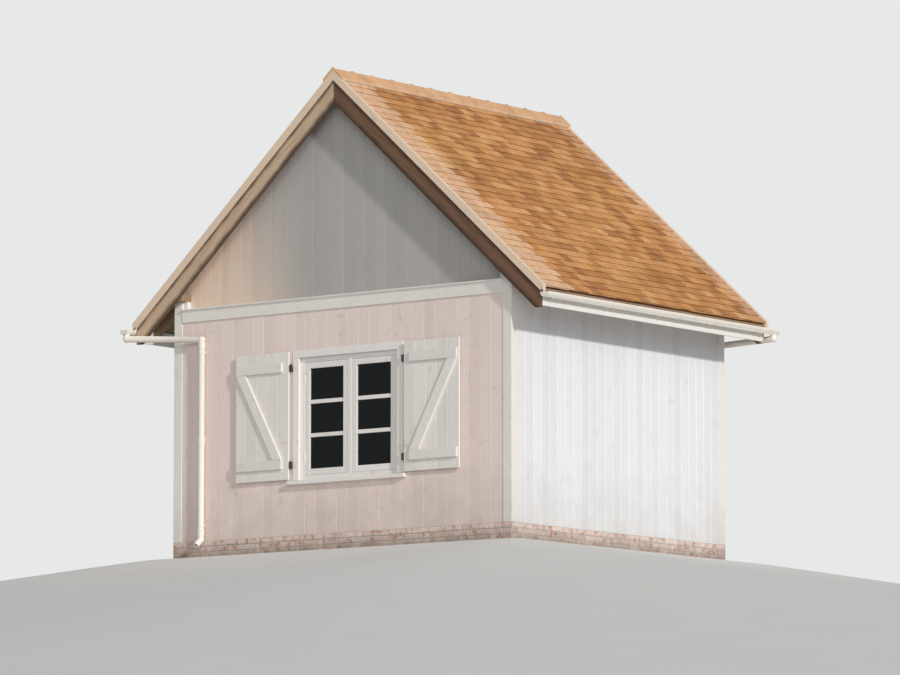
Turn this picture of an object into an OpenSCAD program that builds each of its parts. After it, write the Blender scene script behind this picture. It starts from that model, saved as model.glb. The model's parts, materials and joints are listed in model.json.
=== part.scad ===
// Small white-boarded boathouse with a steep clay tile roof, real size in millimetres.
// The origin lies on the ground under the middle of the hut, +Z is up, the window gable
// looks along -Y and the ridge runs along Y.

/* [Walls] */
// Width across the gable, outside the wall boards
wall_w = 4500; // [3900:50:5200]
// Length along the ridge, outside the wall boards
wall_l = 3800; // [3200:50:4800]
// Thickness of the boarded stud walls
wall_t = 140; // [110:5:170]
// Thickness of the lighter gable panels above the walls
gable_t = 70; // [50:5:90]
// Face width of the corner boards
corner_w = 90; // [70:5:130]
// Thickness of the corner boards
corner_t = 22; // [16:1:28]

/* [Base] */
// Height of the brick plinth above the ground
plinth_h = 180; // [120:10:260]
// How far the plinth stands out from the walls
plinth_out = 20; // [0:5:30]
// How far the plinth carries on inside the walls
plinth_ledge = 40; // [20:5:80]
// Thickness of the floor boards
deck_t = 30; // [20:1:40]

/* [Roof] */
// Pitch of both roof slopes in degrees
pitch = 42; // [36:1:48]
// Height of the top of the lowest tiles at the eaves
eave_h = 2580; // [2500:10:2700]
// How far the tiles reach out past the side walls
eaves_out = 520; // [420:10:600]
// How far the roof reaches out past the gable walls
verge_out = 140; // [120:5:200]
// Thickness of the tile layer under the tile noses
tile_t = 55; // [45:1:70]
// Drop from one tile nose to the course below it
tile_step = 16; // [10:1:22]
// Distance between tile courses, measured down the slope
tile_gauge = 115; // [95:5:150]
// Thickness of the roof boards under the tiles
board_t = 22; // [18:1:28]
// Depth of the rafters
rafter_d = 100; // [90:5:130]
// Width of the rafters
rafter_w = 50; // [40:2:60]
// Number of rafter pairs
rafter_count = 7; // [5:1:9]
// Height of the heel that each rafter hooks over the wall plate
heel_h = 45; // [25:5:50]
// Height of the wall plates
plate_h = 75; // [60:5:90]
// Width of the ridge board
ridge_board_w = 32; // [25:1:40]
// Height of the ridge board
ridge_board_h = 180; // [160:5:220]
// Height of the collar ties above the wall plates
collar_rise = 650; // [500:25:900]
// Depth of the collar ties
collar_d = 100; // [80:5:130]
// Thickness of the collar ties
collar_t = 40; // [30:1:50]
// Width of each wing of the angled ridge tiles, measured level
ridge_wing = 130; // [100:5:160]
// Thickness of the ridge tiles
ridge_t = 18; // [12:1:24]
// Length of one ridge tile
ridge_tile_l = 340; // [280:20:450]
// Width of the collar where two ridge tiles meet
ridge_collar_w = 45; // [30:5:60]
// Height of that collar
ridge_collar_h = 8; // [4:1:12]

/* [Verges and eaves] */
// Thickness of the pale trim that closes the tile ends
trim_t = 40; // [30:2:50]
// Thickness of the bargeboards
barge_t = 28; // [22:1:34]
// Depth of the bargeboards, measured square to the slope
barge_d = 180; // [150:5:220]
// How far the bargeboards stand back from the face of the trim
barge_back = 18; // [10:1:24]
// Drop from the eaves boards to the level foot of the bargeboards
barge_drop = 20; // [5:1:40]
// Thickness of the eaves boards that carry the gutters
fascia_t = 25; // [20:1:30]
// Height of the eaves boards
fascia_h = 150; // [130:5:180]
// How far the lowest tiles reach past the eaves boards
tile_drip = 45; // [35:1:55]

/* [Gutters and pipes] */
// Outer radius of the half-round gutters
gutter_r = 56; // [50:1:65]
// Wall of the gutters
gutter_wall = 4; // [3:0.5:6]
// Gap between the eaves boards and the gutters
gutter_gap = 2; // [1:1:6]
// Drop from the underside of the lowest tiles to the gutter's rim
gutter_drop = 6; // [3:1:12]
// How far each gutter runs on past one verge to reach its outlet
gutter_run_on = 130; // [115:5:180]
// Distance from a gutter's stop end in to the middle of its outlet
outlet_in = 52; // [45:1:70]
// Height of the ring round each outlet
outlet_ring_h = 12; // [8:1:16]
// Drop from a gutter's outlet to the first bend of its pipe
outlet_drop = 41; // [38:1:60]
// Number of brackets under each gutter
bracket_count = 5; // [4:1:7]
// Distance from the verge to the middle of the first bracket
bracket_end = 150; // [100:10:250]
// Height of a bracket's back, which is screwed to the eaves board
bracket_back_h = 67; // [60:1:80]
// Depth of a bracket's back before the gutter's hollow is taken out of it
bracket_back_w = 22; // [16:1:30]
// Thickness of the bracket straps
bracket_t = 5; // [4:0.5:7]
// Width of the bracket straps
bracket_w = 25; // [20:1:35]
// Outer radius of the downpipes
pipe_r = 34; // [28:1:38]
// Bore radius at the open end of the downpipes
pipe_bore_r = 30; // [24:1:32]
// Distance from the hut's corner in to the downpipe
pipe_in = 400; // [250:10:450]
// Clear space between a downpipe and the wall behind it
pipe_off = 28; // [22:1:40]
// Fall of the swan-neck from the gutter to the downpipe
neck_fall = 60; // [40:5:140]
// Height of the downpipe's open end above the ground
shoe_h = 90; // [60:5:150]
// How far the shoe kicks out from the pipe's line
shoe_kick = 82; // [60:2:110]
// Height of the shoe's bend above its open end
shoe_rise = 68; // [50:2:90]
// Distance of the end clips from the plinth and from the upper bend
clip_end = 150; // [100:10:250]
// Width of the pipe clips
clip_w = 25; // [20:1:35]
// Thickness of the pipe clips
clip_t = 4; // [3:0.5:6]

/* [Window] */
// How far the window lies to the right of the gable's middle
window_x = 120; // [0:10:200]
// Height of the sill's top above the ground
sill_z = 760; // [650:10:900]
// Width of the window opening
window_w = 1320; // [1100:20:1400]
// Height of the window opening above the sill
window_h = 1300; // [1100:20:1400]
// Face width of the casing boards round the window
casing_w = 80; // [60:2:100]
// Thickness of the casing boards
casing_t = 22; // [16:1:28]
// Depth of the fixed window frame
frame_d = 70; // [60:2:80]
// Face width of the fixed window frame and its middle post
frame_w = 50; // [40:2:70]
// How far the fixed frame stands back from the face of the wall
frame_back = 15; // [12:1:30]
// Face width of the casement stiles and rails
stile_w = 65; // [50:1:75]
// Thickness of the casements
casement_t = 45; // [36:1:50]
// Gap round each casement
casement_gap = 2; // [1:0.5:4]
// How far the casements stand back from the face of the fixed frame
casement_in = 4; // [2:1:8]
// Width of the stops that the casements and the door shut against
stop_w = 12; // [8:1:16]
// Thickness of the glass
glass_t = 6; // [4:1:8]
// How far the sill stands out from the wall
sill_out = 70; // [55:1:90]
// Height of the sill at its front edge
sill_nose = 38; // [30:1:50]
// Fall of the sill's weathered top
sill_fall = 8; // [4:1:12]
// How far the sill carries on past the casing at each end
sill_horn = 40; // [20:5:60]

/* [Shutters] */
// Thickness of the shutter boards
leaf_t = 22; // [18:1:26]
// Face width of the shutter ledges
ledge_w = 105; // [80:5:130]
// Thickness of the shutter ledges and braces
ledge_t = 25; // [18:1:28]
// Distance from a shutter's end to the middle of the ledge
ledge_end = 165; // [120:5:220]
// Width of the slanting brace, measured level
brace_w = 125; // [90:5:150]
// Gap between a shut shutter and the casing, and over the sill
leaf_gap = 10; // [8:1:14]
// Gap between the two shut shutters
meet_gap = 8; // [6:1:14]
// Distance from the hinge pin's axis to the edge of the shutter
pin_to_leaf = 20; // [19:1:26]
// Distance from the casing's edge out to the hinge pin's axis
pin_to_casing = 12; // [10:1:16]
// Radius of the hinge pins
pin_r = 8; // [6:0.5:8]
// Radial clearance of the hinge eyes on their pins
pin_clear = 0.5; // [0.3:0.1:0.8]
// Height of the hinge eyes
eye_h = 50; // [40:2:60]
// Thickness of the strap bands
band_t = 5; // [4:0.5:6]
// Height of the strap bands
band_h = 36; // [28:2:44]
// Length of the strap bands
band_l = 430; // [300:10:500]
// Height of the arm and collar that carry each hinge pin
pintle_arm_h = 20; // [14:1:28]
// Thickness of the pintle's wall plate
pintle_plate_t = 6; // [4:1:8]
// How far the wall plate reaches below the top of the arm
pintle_plate_drop = 60; // [40:5:90]
// How far the wall plate rises above the top of the arm
pintle_plate_rise = 40; // [20:5:60]

/* [Door] */
// Width of the doorway in the rear wall
door_w = 900; // [800:20:1000]
// Height of the doorway above the plinth
door_h = 2000; // [1900:20:2100]
// Face width of the door frame
door_frame_w = 55; // [45:1:70]
// Depth of the door frame
door_frame_d = 100; // [80:5:110]
// Thickness of the door
door_t = 45; // [38:1:50]
// Gap round the door
door_gap = 3; // [2:0.5:5]
// How far the door stands back from the face of the wall
door_back = 20; // [15:1:30]
// Distance from the door's ends to its strap bands
door_strap_end = 240; // [180:10:320]
// Height of the latch above the bottom of the doorway
latch_h = 1000; // [900:10:1100]
// Distance from the door's edge to the middle of the latch
latch_in = 65; // [50:1:90]
// Height of the latch plate
latch_plate_h = 100; // [80:5:140]
// How far the knob stands out from the door
knob_out = 50; // [40:1:60]
// Radius of the knob
knob_r = 18; // [14:1:24]

/* [Gable band] */
// How far the gable walls rise past the edge of the lowest tiles
band_rise = 100; // [60:10:140]
// Height of the band board across the top of the gable wall
band_board_h = 130; // [100:5:160]
// Thickness of the band board
band_board_t = 30; // [20:1:36]
// Thickness of the sloping cap on the band board
cap_t = 30; // [22:1:40]
// How far the cap reaches past the band board
cap_out = 20; // [10:1:30]

/* [Hidden] */
$fn = 48;
// Gap left where a piece is laid on its neighbour or turns against it
seat = 0.3;
// Distance that a cutting shape runs past the piece it cuts
over = 20;

half_w = wall_w / 2;
half_l = wall_l / 2;
inner_w = half_w - wall_t;
inner_l = half_l - wall_t;

// The tile tops lie in the planes z = apex_z - |x| * tan(pitch)
eave_x = half_w + eaves_out;
apex_z = eave_h + eave_x * tan(pitch);
half_roof = half_l + verge_out;
tile_half_l = half_roof - trim_t;
barge_out = half_roof - barge_back;
barge_in = barge_out - barge_t;
// Depths below the tile tops, square to the slope
boards_under = tile_t + board_t;
rafters_under = boards_under + rafter_d;
function roof_z(x, depth) = apex_z - x * tan(pitch) - depth / cos(pitch);
function roof_x(z, depth) = (apex_z - depth / cos(pitch) - z) / tan(pitch);

slope_l = eave_x / cos(pitch);
course_count = round(slope_l / tile_gauge);
course_l = slope_l / course_count;

// Top of the gable walls, where the set-back gable panels start
gable_foot = eave_h + band_rise;
plate_top = roof_z(half_w, rafters_under) + heel_h;
side_top = plate_top - plate_h;
fascia_x = eave_x - tile_drip;
foot_x = fascia_x - fascia_t;
fascia_top = roof_z(fascia_x, boards_under);
fascia_bottom = fascia_top - fascia_h;
ridge_board_top = roof_z(ridge_board_w / 2, boards_under);
collar_z = plate_top + collar_rise;

// Rafters stand evenly between the gable walls, the outer pairs against the gable panels
rafter_span = 2 * inner_l - rafter_w;
rafter_pitch = rafter_span / (rafter_count - 1);
function rafter_y(i) = -rafter_span / 2 + i * rafter_pitch;

gutter_x = fascia_x + gutter_gap + gutter_r;
gutter_z = roof_z(eave_x, tile_t) - gutter_drop;
gutter_end = half_roof + gutter_run_on;
outlet_y = gutter_end - outlet_in;
pipe_x = half_w - pipe_in;
pipe_y = half_l + pipe_off + pipe_r;
neck_top = gutter_z - gutter_r;
bend_z = neck_top - outlet_drop;
turn_z = bend_z - neck_fall;

head_z = sill_z + window_h;
casing_half = window_w / 2 + casing_w;
casing_top = head_z + casing_w;
light_w = (window_w - 3 * frame_w) / 2;
light_h = window_h - 2 * frame_w;
light_mid = (light_w + frame_w) / 2;
frame_face = half_l - frame_back;
casement_face = frame_face - casement_in;
// The slot in the casements holds the glass by this much all round
glass_hold = 12;

pin_x = casing_half + pin_to_casing;
pin_y = half_l + casing_t + leaf_gap + leaf_t / 2;
leaf_w = pin_x - pin_to_leaf - meet_gap / 2;
leaf_bottom = sill_z + leaf_gap;
leaf_top = casing_top - leaf_gap;
ledge_low = leaf_bottom + ledge_end;
ledge_high = leaf_top - ledge_end;
// A shut shutter's ledges pass inside the casing
ledge_from = pin_to_casing + casing_w + leaf_gap;
ledge_to = pin_to_leaf + leaf_w - leaf_gap * 2;
eye_r = leaf_t / 2 + band_t;

door_half = door_w / 2 - door_frame_w - door_gap;
door_face = half_l - door_back;

// Helpers: a box between two corners, a gable outline carried along Y, and mirrored copies

module block(low, high) {
    translate(low) cube(high - low);
}

module along_y(from, to) {
    translate([0, to, 0]) rotate([90, 0, 0]) linear_extrude(height = to - from) children();
}

module both_sides() {
    children();
    mirror([1, 0, 0]) children();
}

module both_gables() {
    children();
    rotate([0, 0, 180]) children();
}

// A board that follows the slope between two depths, cut plumb at both ends
module slope_strip(from_x, to_x, top, bottom) {
    polygon([
        [from_x, roof_z(from_x, top)],
        [to_x, roof_z(to_x, top)],
        [to_x, roof_z(to_x, bottom)],
        [from_x, roof_z(from_x, bottom)],
    ]);
}

// Base

module plinth() {
    color("#c9b8a8") difference() {
        block([-half_w - plinth_out, -half_l - plinth_out, 0], [half_w + plinth_out, half_l + plinth_out, plinth_h]);
        block([-inner_w + plinth_ledge, -inner_l + plinth_ledge, -over],
              [inner_w - plinth_ledge, inner_l - plinth_ledge, plinth_h + over]);
    }
}

module floor_slab() {
    color("#9d9a94")
        block([-inner_w + plinth_ledge, -inner_l + plinth_ledge, 0],
              [inner_w - plinth_ledge, inner_l - plinth_ledge, plinth_h - deck_t]);
}

module floor_deck() {
    color("#8a6f52")
        block([-inner_w + plinth_ledge, -inner_l + plinth_ledge, plinth_h - deck_t],
              [inner_w - plinth_ledge, inner_l - plinth_ledge, plinth_h]);
}

// Walls

module front_wall() {
    color("#f0e6de") difference() {
        block([-inner_w, -half_l, plinth_h], [inner_w, -inner_l, gable_foot]);
        block([window_x - window_w / 2, -half_l - over, sill_z - sill_nose - sill_fall],
              [window_x + window_w / 2, -inner_l + over, head_z]);
    }
}

module rear_wall() {
    color("#f0e6de") difference() {
        block([-inner_w, inner_l, plinth_h], [inner_w, half_l, gable_foot]);
        block([-door_w / 2, inner_l - over, plinth_h - over], [door_w / 2, half_l + over, plinth_h + door_h]);
    }
}

module side_wall() {
    color("#f4f1ec") block([inner_w, -half_l, plinth_h], [half_w, half_l, side_top]);
}

module left_wall() {
    mirror([1, 0, 0]) side_wall();
}

module right_wall() {
    side_wall();
}

// Right half of the gable panel's outline: along the foot, past the wall plate and up the slope
gable_edge = [
    [inner_w, gable_foot],
    [inner_w, plate_top],
    [half_w, plate_top],
    [half_w, roof_z(half_w, boards_under)],
    [0, roof_z(0, boards_under)],
];

module gable_panel() {
    left_edge = [for (i = [len(gable_edge) - 2 : -1 : 0]) [-gable_edge[i].x, gable_edge[i].y]];
    color("#d9d9d4") difference() {
        along_y(-inner_l - gable_t, -inner_l) polygon(concat(gable_edge, left_edge));
        block([-ridge_board_w / 2, -half_l, ridge_board_top - ridge_board_h],
              [ridge_board_w / 2, -inner_l + over, ridge_board_top]);
    }
}

module front_gable() {
    gable_panel();
}

module rear_gable() {
    rotate([0, 0, 180]) gable_panel();
}

// Band board with its weathered cap, between the corner boards
module gable_bands() {
    color("#f6f0e8") both_gables() difference() {
        block([-half_w + corner_w, -half_l - band_board_t - cap_out, gable_foot - band_board_h],
              [half_w - corner_w, -inner_l - gable_t, gable_foot + cap_t]);
        block([-half_w, -half_l, 0], [half_w, 0, gable_foot]);
        both_sides() block([inner_w, -half_l, 0], [half_w, 0, side_top]);
        block([-half_w, -half_l - band_board_t - cap_out - over, 0], [half_w, -half_l - band_board_t, gable_foot]);
        translate([0, -half_l - band_board_t - cap_out, gable_foot + cap_t / 2])
            rotate([atan2(cap_t / 2, band_board_t + cap_out + wall_t - gable_t), 0, 0])
                translate([-half_w, -over, 0]) cube([wall_w, wall_t * 2, wall_t]);
    }
}

module corner_boards() {
    color("#fbf7f0") both_gables() both_sides() difference() {
        block([half_w - corner_w, -half_l - corner_t, plinth_h], [half_w + corner_t, -half_l + corner_w, side_top]);
        block([0, -half_l, 0], [half_w, 0, side_top + over]);
    }
}

// Roof frame

module wall_plates() {
    color("#e9dfd2") both_sides() block([inner_w, -barge_in, side_top], [half_w, barge_in, plate_top]);
}

// One rafter with plumb cuts at the ridge board and the foot, and a bird's mouth over the plate
module rafter() {
    along_y(-rafter_w / 2, rafter_w / 2) polygon([
        [ridge_board_w / 2, roof_z(ridge_board_w / 2, boards_under)],
        [foot_x, roof_z(foot_x, boards_under)],
        [foot_x, roof_z(foot_x, rafters_under)],
        [half_w, roof_z(half_w, rafters_under)],
        [half_w, plate_top],
        [roof_x(plate_top, rafters_under), plate_top],
        [ridge_board_w / 2, roof_z(ridge_board_w / 2, rafters_under)],
    ]);
}

module rafters() {
    color("#a5866a") both_sides() for (i = [0 : rafter_count - 1])
        translate([0, rafter_y(i), 0]) rafter();
}

// A collar tie lies against every second rafter pair, its ends cut to the slope
module collar_ties() {
    low_x = roof_x(collar_z, boards_under);
    high_x = roof_x(collar_z + collar_d, boards_under);
    color("#a5866a") for (i = [0 : 2 : rafter_count - 2])
        translate([0, rafter_y(i) + rafter_w / 2, 0]) along_y(0, collar_t) polygon([
            [-low_x, collar_z],
            [low_x, collar_z],
            [high_x, collar_z + collar_d],
            [-high_x, collar_z + collar_d],
        ]);
}

module ridge_board() {
    color("#a5866a")
        block([-ridge_board_w / 2, -barge_in, ridge_board_top - ridge_board_h],
              [ridge_board_w / 2, barge_in, ridge_board_top]);
}

// Blocks that close the eaves between the rafters, on the outer part of the wall plates
module eaves_blocks() {
    block_out = half_w;
    block_in = half_w - gable_t / 2;
    color("#efe6da") both_sides() for (i = [0 : rafter_count - 2])
        along_y(rafter_y(i) + rafter_w / 2 + seat, rafter_y(i + 1) - rafter_w / 2 - seat) polygon([
            [block_in, plate_top],
            [block_out, plate_top],
            [block_out, roof_z(block_out, boards_under)],
            [block_in, roof_z(block_in, boards_under)],
        ]);
}

// Roof covering

// Boards laid over the rafters, just clear of them and of the tiles
module roof_boards() {
    color("#c9b090") along_y(-tile_half_l, tile_half_l)
        slope_strip(0, fascia_x, tile_t + seat, boards_under - seat);
}

module left_roof_boards() {
    mirror([1, 0, 0]) roof_boards();
}

module right_roof_boards() {
    roof_boards();
}

// Height of a course's top at each end: the nose stands proud and the back sinks by one step
function course_point(i, sink) = [
    eave_x - i * course_l * cos(pitch) - sink * sin(pitch),
    eave_h + i * course_l * sin(pitch) - sink * cos(pitch),
];

// Saw-tooth outline of the tiled slope, worked out course by course from the eaves to the ridge
module tile_courses() {
    teeth = [for (i = [0 : course_count - 1], end = [0, 1]) course_point(i + end, end * tile_step)];
    color("#b9713d") along_y(-tile_half_l, tile_half_l) intersection() {
        polygon(concat(
            [[0, roof_z(0, tile_t)], [eave_x, roof_z(eave_x, tile_t)]],
            teeth,
            [[0, apex_z - tile_step / cos(pitch)]]
        ));
        square([eave_x, apex_z + over]);
    }
}

module left_roof_tiles() {
    mirror([1, 0, 0]) tile_courses();
}

module right_roof_tiles() {
    tile_courses();
}

// Angled ridge tiles bedded on both slopes, each with a collar over its joint
module ridge_length(top, from, to) {
    along_y(from, to) union() {
        slope_strip(0, ridge_wing, -top, -seat);
        mirror([1, 0]) slope_strip(0, ridge_wing, -top, -seat);
    }
}

module ridge_tiles() {
    count = round(2 * half_roof / ridge_tile_l);
    length = 2 * half_roof / count;
    color("#b0683a") union() {
        ridge_length(ridge_t, -half_roof, half_roof);
        for (i = [0 : count])
            ridge_length(ridge_t + ridge_collar_h,
                         max(-half_roof, -half_roof + i * length - ridge_collar_w / 2),
                         min(half_roof, -half_roof + i * length + ridge_collar_w / 2));
    }
}

// Verges and eaves

// The pair of bargeboards meets in a plumb joint under the ridge, and each foot is cut level
module bargeboards() {
    foot_z = fascia_bottom - barge_drop;
    color("#9c7655") both_sides() along_y(-barge_out, -barge_in) intersection() {
        slope_strip(seat, fascia_x, boards_under + seat, boards_under + barge_d);
        translate([0, foot_z]) square([eave_x, apex_z]);
    }
}

module front_bargeboards() {
    bargeboards();
}

module rear_bargeboards() {
    rotate([0, 0, 180]) bargeboards();
}

// The trim covers the ends of the tiles and boards, and only the tiles past the eaves board
module trim_outline() {
    polygon([
        [0, roof_z(0, 0)],
        [eave_x, roof_z(eave_x, 0)],
        [eave_x, roof_z(eave_x, tile_t)],
        [fascia_x, roof_z(fascia_x, tile_t)],
        [fascia_x, roof_z(fascia_x, boards_under)],
        [0, roof_z(0, boards_under)],
    ]);
}

module verge_trims() {
    color("#f3e6d0") both_gables() along_y(-half_roof, -tile_half_l) union() {
        trim_outline();
        mirror([1, 0]) trim_outline();
    }
}

module fascia() {
    color("#f3ece0") block([foot_x, -barge_in, fascia_bottom], [fascia_x, barge_in, fascia_top]);
}

module left_fascia() {
    mirror([1, 0, 0]) fascia();
}

module right_fascia() {
    fascia();
}

// Gutters and pipes

// Half-round shell with stop ends and an outlet ring, running on past the rear verge
module gutter() {
    color("#f7f2e8") union() {
        difference() {
            along_y(-half_roof, gutter_end) translate([gutter_x, gutter_z]) circle(r = gutter_r);
            along_y(-half_roof + gutter_wall, gutter_end - gutter_wall)
                translate([gutter_x, gutter_z]) circle(r = gutter_r - gutter_wall);
            block([fascia_x, -gutter_end - over, gutter_z], [gutter_x + gutter_r * 2, gutter_end + over, apex_z]);
        }
        translate([gutter_x, outlet_y, neck_top - seat]) difference() {
            cylinder(r = pipe_r + clip_t, h = outlet_ring_h);
            translate([0, 0, gutter_wall]) cylinder(r = pipe_bore_r, h = gutter_r);
        }
    }
}

module right_gutter() {
    gutter();
}

module left_gutter() {
    rotate([0, 0, 180]) gutter();
}

module gutter_bracket() {
    along_y(-bracket_w / 2, bracket_w / 2) difference() {
        union() {
            translate([gutter_x, gutter_z]) circle(r = gutter_r + seat + bracket_t);
            translate([fascia_x, gutter_z - bracket_back_h]) square([bracket_back_w, bracket_back_h]);
        }
        translate([gutter_x, gutter_z]) circle(r = gutter_r + seat);
        translate([fascia_x - gutter_r, gutter_z]) square(gutter_r * 4);
        translate([fascia_x - gutter_r, gutter_z - gutter_r * 2]) square([gutter_r, gutter_r * 4]);
    }
}

module gutter_brackets() {
    step = 2 * (half_roof - bracket_end) / (bracket_count - 1);
    color("#e9e3d8") both_gables() for (i = [0 : bracket_count - 1])
        translate([0, -half_roof + bracket_end + i * step, 0]) gutter_bracket();
}

// A straight pipe between two points, turned from +Z to the line that joins them
module pipe_between(a, b, r) {
    d = b - a;
    flat = norm([d.x, d.y]);
    translate(a) rotate([0, atan2(flat, d.z), atan2(d.y, d.x)]) cylinder(r = r, h = norm(d));
}

// Swan-neck from the gutter's outlet to the gable wall, straight drop and kicked-out shoe
module downpipe() {
    top = [gutter_x, outlet_y, neck_top - seat];
    bend = [gutter_x, outlet_y, bend_z];
    turn = [pipe_x, pipe_y, turn_z];
    toe = [pipe_x, pipe_y + shoe_kick, shoe_h + pipe_r];
    heel = [pipe_x, pipe_y, toe.z + shoe_rise];
    color("#faf7f0") difference() {
        union() {
            pipe_between(bend, top, pipe_r);
            translate(bend) sphere(r = pipe_r + clip_t);
            pipe_between(bend, turn, pipe_r);
            translate(turn) sphere(r = pipe_r + clip_t);
            pipe_between(heel, turn, pipe_r);
            translate(heel) sphere(r = pipe_r + clip_t);
            pipe_between(heel, toe, pipe_r);
        }
        pipe_between(toe - (toe - heel) / 2, toe + (toe - heel) / 4, pipe_bore_r);
    }
}

module rear_downpipe() {
    downpipe();
}

module front_downpipe() {
    rotate([0, 0, 180]) downpipe();
}

// Each clip is a ring round the pipe with a lug screwed to the wall
module pipe_clips() {
    low = plinth_h + clip_end;
    high = turn_z - clip_end;
    color("#efe9de") both_gables() for (i = [0 : 2])
        translate([pipe_x, pipe_y, low + i * (high - low) / 2]) difference() {
            union() {
                cylinder(r = pipe_r + seat + clip_t, h = clip_w);
                translate([-clip_w / 2, half_l - pipe_y, 0]) cube([clip_w, pipe_y - half_l, clip_w]);
                translate([-pipe_r, half_l - pipe_y, 0]) cube([2 * pipe_r, clip_t, clip_w]);
            }
            translate([0, 0, -over]) cylinder(r = pipe_r + seat, h = clip_w + 2 * over);
        }
}

// Window

module window_casing() {
    color("#fbf8f2") difference() {
        block([window_x - casing_half, -half_l - casing_t, sill_z], [window_x + casing_half, -half_l, casing_top]);
        block([window_x - window_w / 2, -half_l - over * 2, 0], [window_x + window_w / 2, 0, head_z]);
    }
}

// Weathered sill with horns past the casing, its back part inside the wall opening
module window_sill() {
    horn_half = casing_half + sill_horn;
    profile_d = sill_out + frame_back + frame_d;
    color("#fbf8f2") difference() {
        translate([window_x - horn_half, -half_l - sill_out, sill_z - sill_nose - sill_fall])
            rotate([90, 0, 90]) linear_extrude(height = 2 * horn_half) polygon([
                [0, 0],
                [profile_d, 0],
                [profile_d, sill_nose + sill_fall],
                [sill_out, sill_nose + sill_fall],
                [0, sill_nose],
            ]);
        for (side = [-1, 1])
            translate([window_x + side * (window_w / 2 + horn_half), 0, sill_z])
                cube([2 * horn_half, wall_l, wall_t * 2], center = true);
    }
}

// Fixed frame with a rebate for each casement, which shuts against the stop behind it
module window_frame() {
    color("#faf6ee") difference() {
        block([window_x - window_w / 2, -frame_face, sill_z], [window_x + window_w / 2, -frame_face + frame_d, head_z]);
        for (side = [-1, 1])
            translate([window_x + side * light_mid, -frame_face, sill_z + window_h / 2]) {
                cube([light_w, 2 * (casement_t + casement_in), light_h], center = true);
                cube([light_w - 2 * stop_w, wall_t * 2, light_h - 2 * stop_w], center = true);
            }
    }
}

// A casement is a pair of stiles and rails with a slot that the glass stands in
module casement(side) {
    w = light_w - 2 * casement_gap;
    h = light_h - 2 * casement_gap;
    glass_w = w - 2 * stile_w + 2 * glass_hold;
    glass_h = h - 2 * stile_w + 2 * glass_hold;
    color("#fdfaf4") translate([window_x + side * light_mid, -casement_face + casement_t / 2, sill_z + window_h / 2])
        difference() {
            cube([w, casement_t, h], center = true);
            cube([w - 2 * stile_w, casement_t * 2, h - 2 * stile_w], center = true);
            cube([glass_w, glass_t + 2 * seat, glass_h], center = true);
        }
}

module left_casement() {
    casement(-1);
}

module right_casement() {
    casement(1);
}

module window_glass() {
    w = light_w - 2 * casement_gap - 2 * stile_w + glass_hold;
    h = light_h - 2 * casement_gap - 2 * stile_w + glass_hold;
    color("#2c3436") for (side = [-1, 1])
        translate([window_x + side * light_mid, -casement_face + casement_t / 2, sill_z + window_h / 2])
            cube([w, glass_t, h], center = true);
}

// Shutters, drawn open and flat against the wall

// Ledges and brace as one Z: the brace climbs from the hinge side to the free side
module ledge_outline() {
    low = ledge_low + ledge_w / 2;
    high = ledge_high - ledge_w / 2;
    polygon([
        [ledge_from, low - ledge_w],
        [ledge_to, low - ledge_w],
        [ledge_to, low],
        [ledge_from + brace_w, low],
        [ledge_to, high],
        [ledge_to, high + ledge_w],
        [ledge_from, high + ledge_w],
        [ledge_from, high],
        [ledge_to - brace_w, high],
        [ledge_from, low],
    ]);
}

// The right leaf reaches from the pin's axis towards +X, its ledged side facing out
module shutter_leaf() {
    color("#fbf7f0") union() {
        block([pin_to_leaf, -leaf_t / 2, leaf_bottom], [pin_to_leaf + leaf_w, leaf_t / 2, leaf_top]);
        along_y(-leaf_t / 2 - ledge_t, -leaf_t / 2) ledge_outline();
    }
}

// Two strap bands on the wall side of the open leaf, each with an eye on its pin
module shutter_bands() {
    color("#3b3a38") for (z = [ledge_low, ledge_high])
        translate([0, 0, z]) difference() {
            union() {
                translate([0, 0, -eye_h / 2]) cylinder(r = eye_r, h = eye_h);
                block([0, leaf_t / 2, -band_h / 2], [band_l, eye_r, band_h / 2]);
            }
            translate([0, 0, -eye_h]) cylinder(r = pin_r + pin_clear, h = 2 * eye_h);
        }
}

module right_shutter() {
    translate([window_x + pin_x, -pin_y, 0]) shutter_leaf();
}

module right_shutter_bands() {
    translate([window_x + pin_x, -pin_y, 0]) shutter_bands();
}

module left_shutter() {
    translate([window_x - pin_x, -pin_y, 0]) mirror([1, 0, 0]) shutter_leaf();
}

module left_shutter_bands() {
    translate([window_x - pin_x, -pin_y, 0]) mirror([1, 0, 0]) shutter_bands();
}

// Each pintle is an upright pin on an arm, with a narrow plate screwed to the wall
module shutter_pintles() {
    arm_w = 2 * pin_r;
    collar_r = eye_r - 1;
    color("#3b3a38") for (side = [-1, 1], z = [ledge_low, ledge_high])
        translate([window_x + side * pin_x, -pin_y, z - eye_h / 2 - seat]) union() {
            translate([0, 0, -pintle_arm_h]) cylinder(r = pin_r, h = pintle_arm_h + eye_h + pin_r);
            translate([0, 0, -pintle_arm_h]) cylinder(r = collar_r, h = pintle_arm_h);
            block([-arm_w / 2, 0, -pintle_arm_h], [arm_w / 2, pin_y - half_l, 0]);
            block([-arm_w / 2, pin_y - half_l - pintle_plate_t, -pintle_plate_drop],
                  [arm_w / 2, pin_y - half_l, pintle_plate_rise]);
        }
}

// Rear door, closed

module door_frame() {
    color("#f6f1e8") difference() {
        block([-door_w / 2, half_l - door_frame_d, plinth_h], [door_w / 2, half_l, plinth_h + door_h]);
        block([-door_w / 2 + door_frame_w, door_face - door_t, 0],
              [door_w / 2 - door_frame_w, wall_l, plinth_h + door_h - door_frame_w]);
        block([-door_w / 2 + door_frame_w + stop_w, 0, 0],
              [door_w / 2 - door_frame_w - stop_w, wall_l, plinth_h + door_h - door_frame_w - stop_w]);
    }
}

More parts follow.
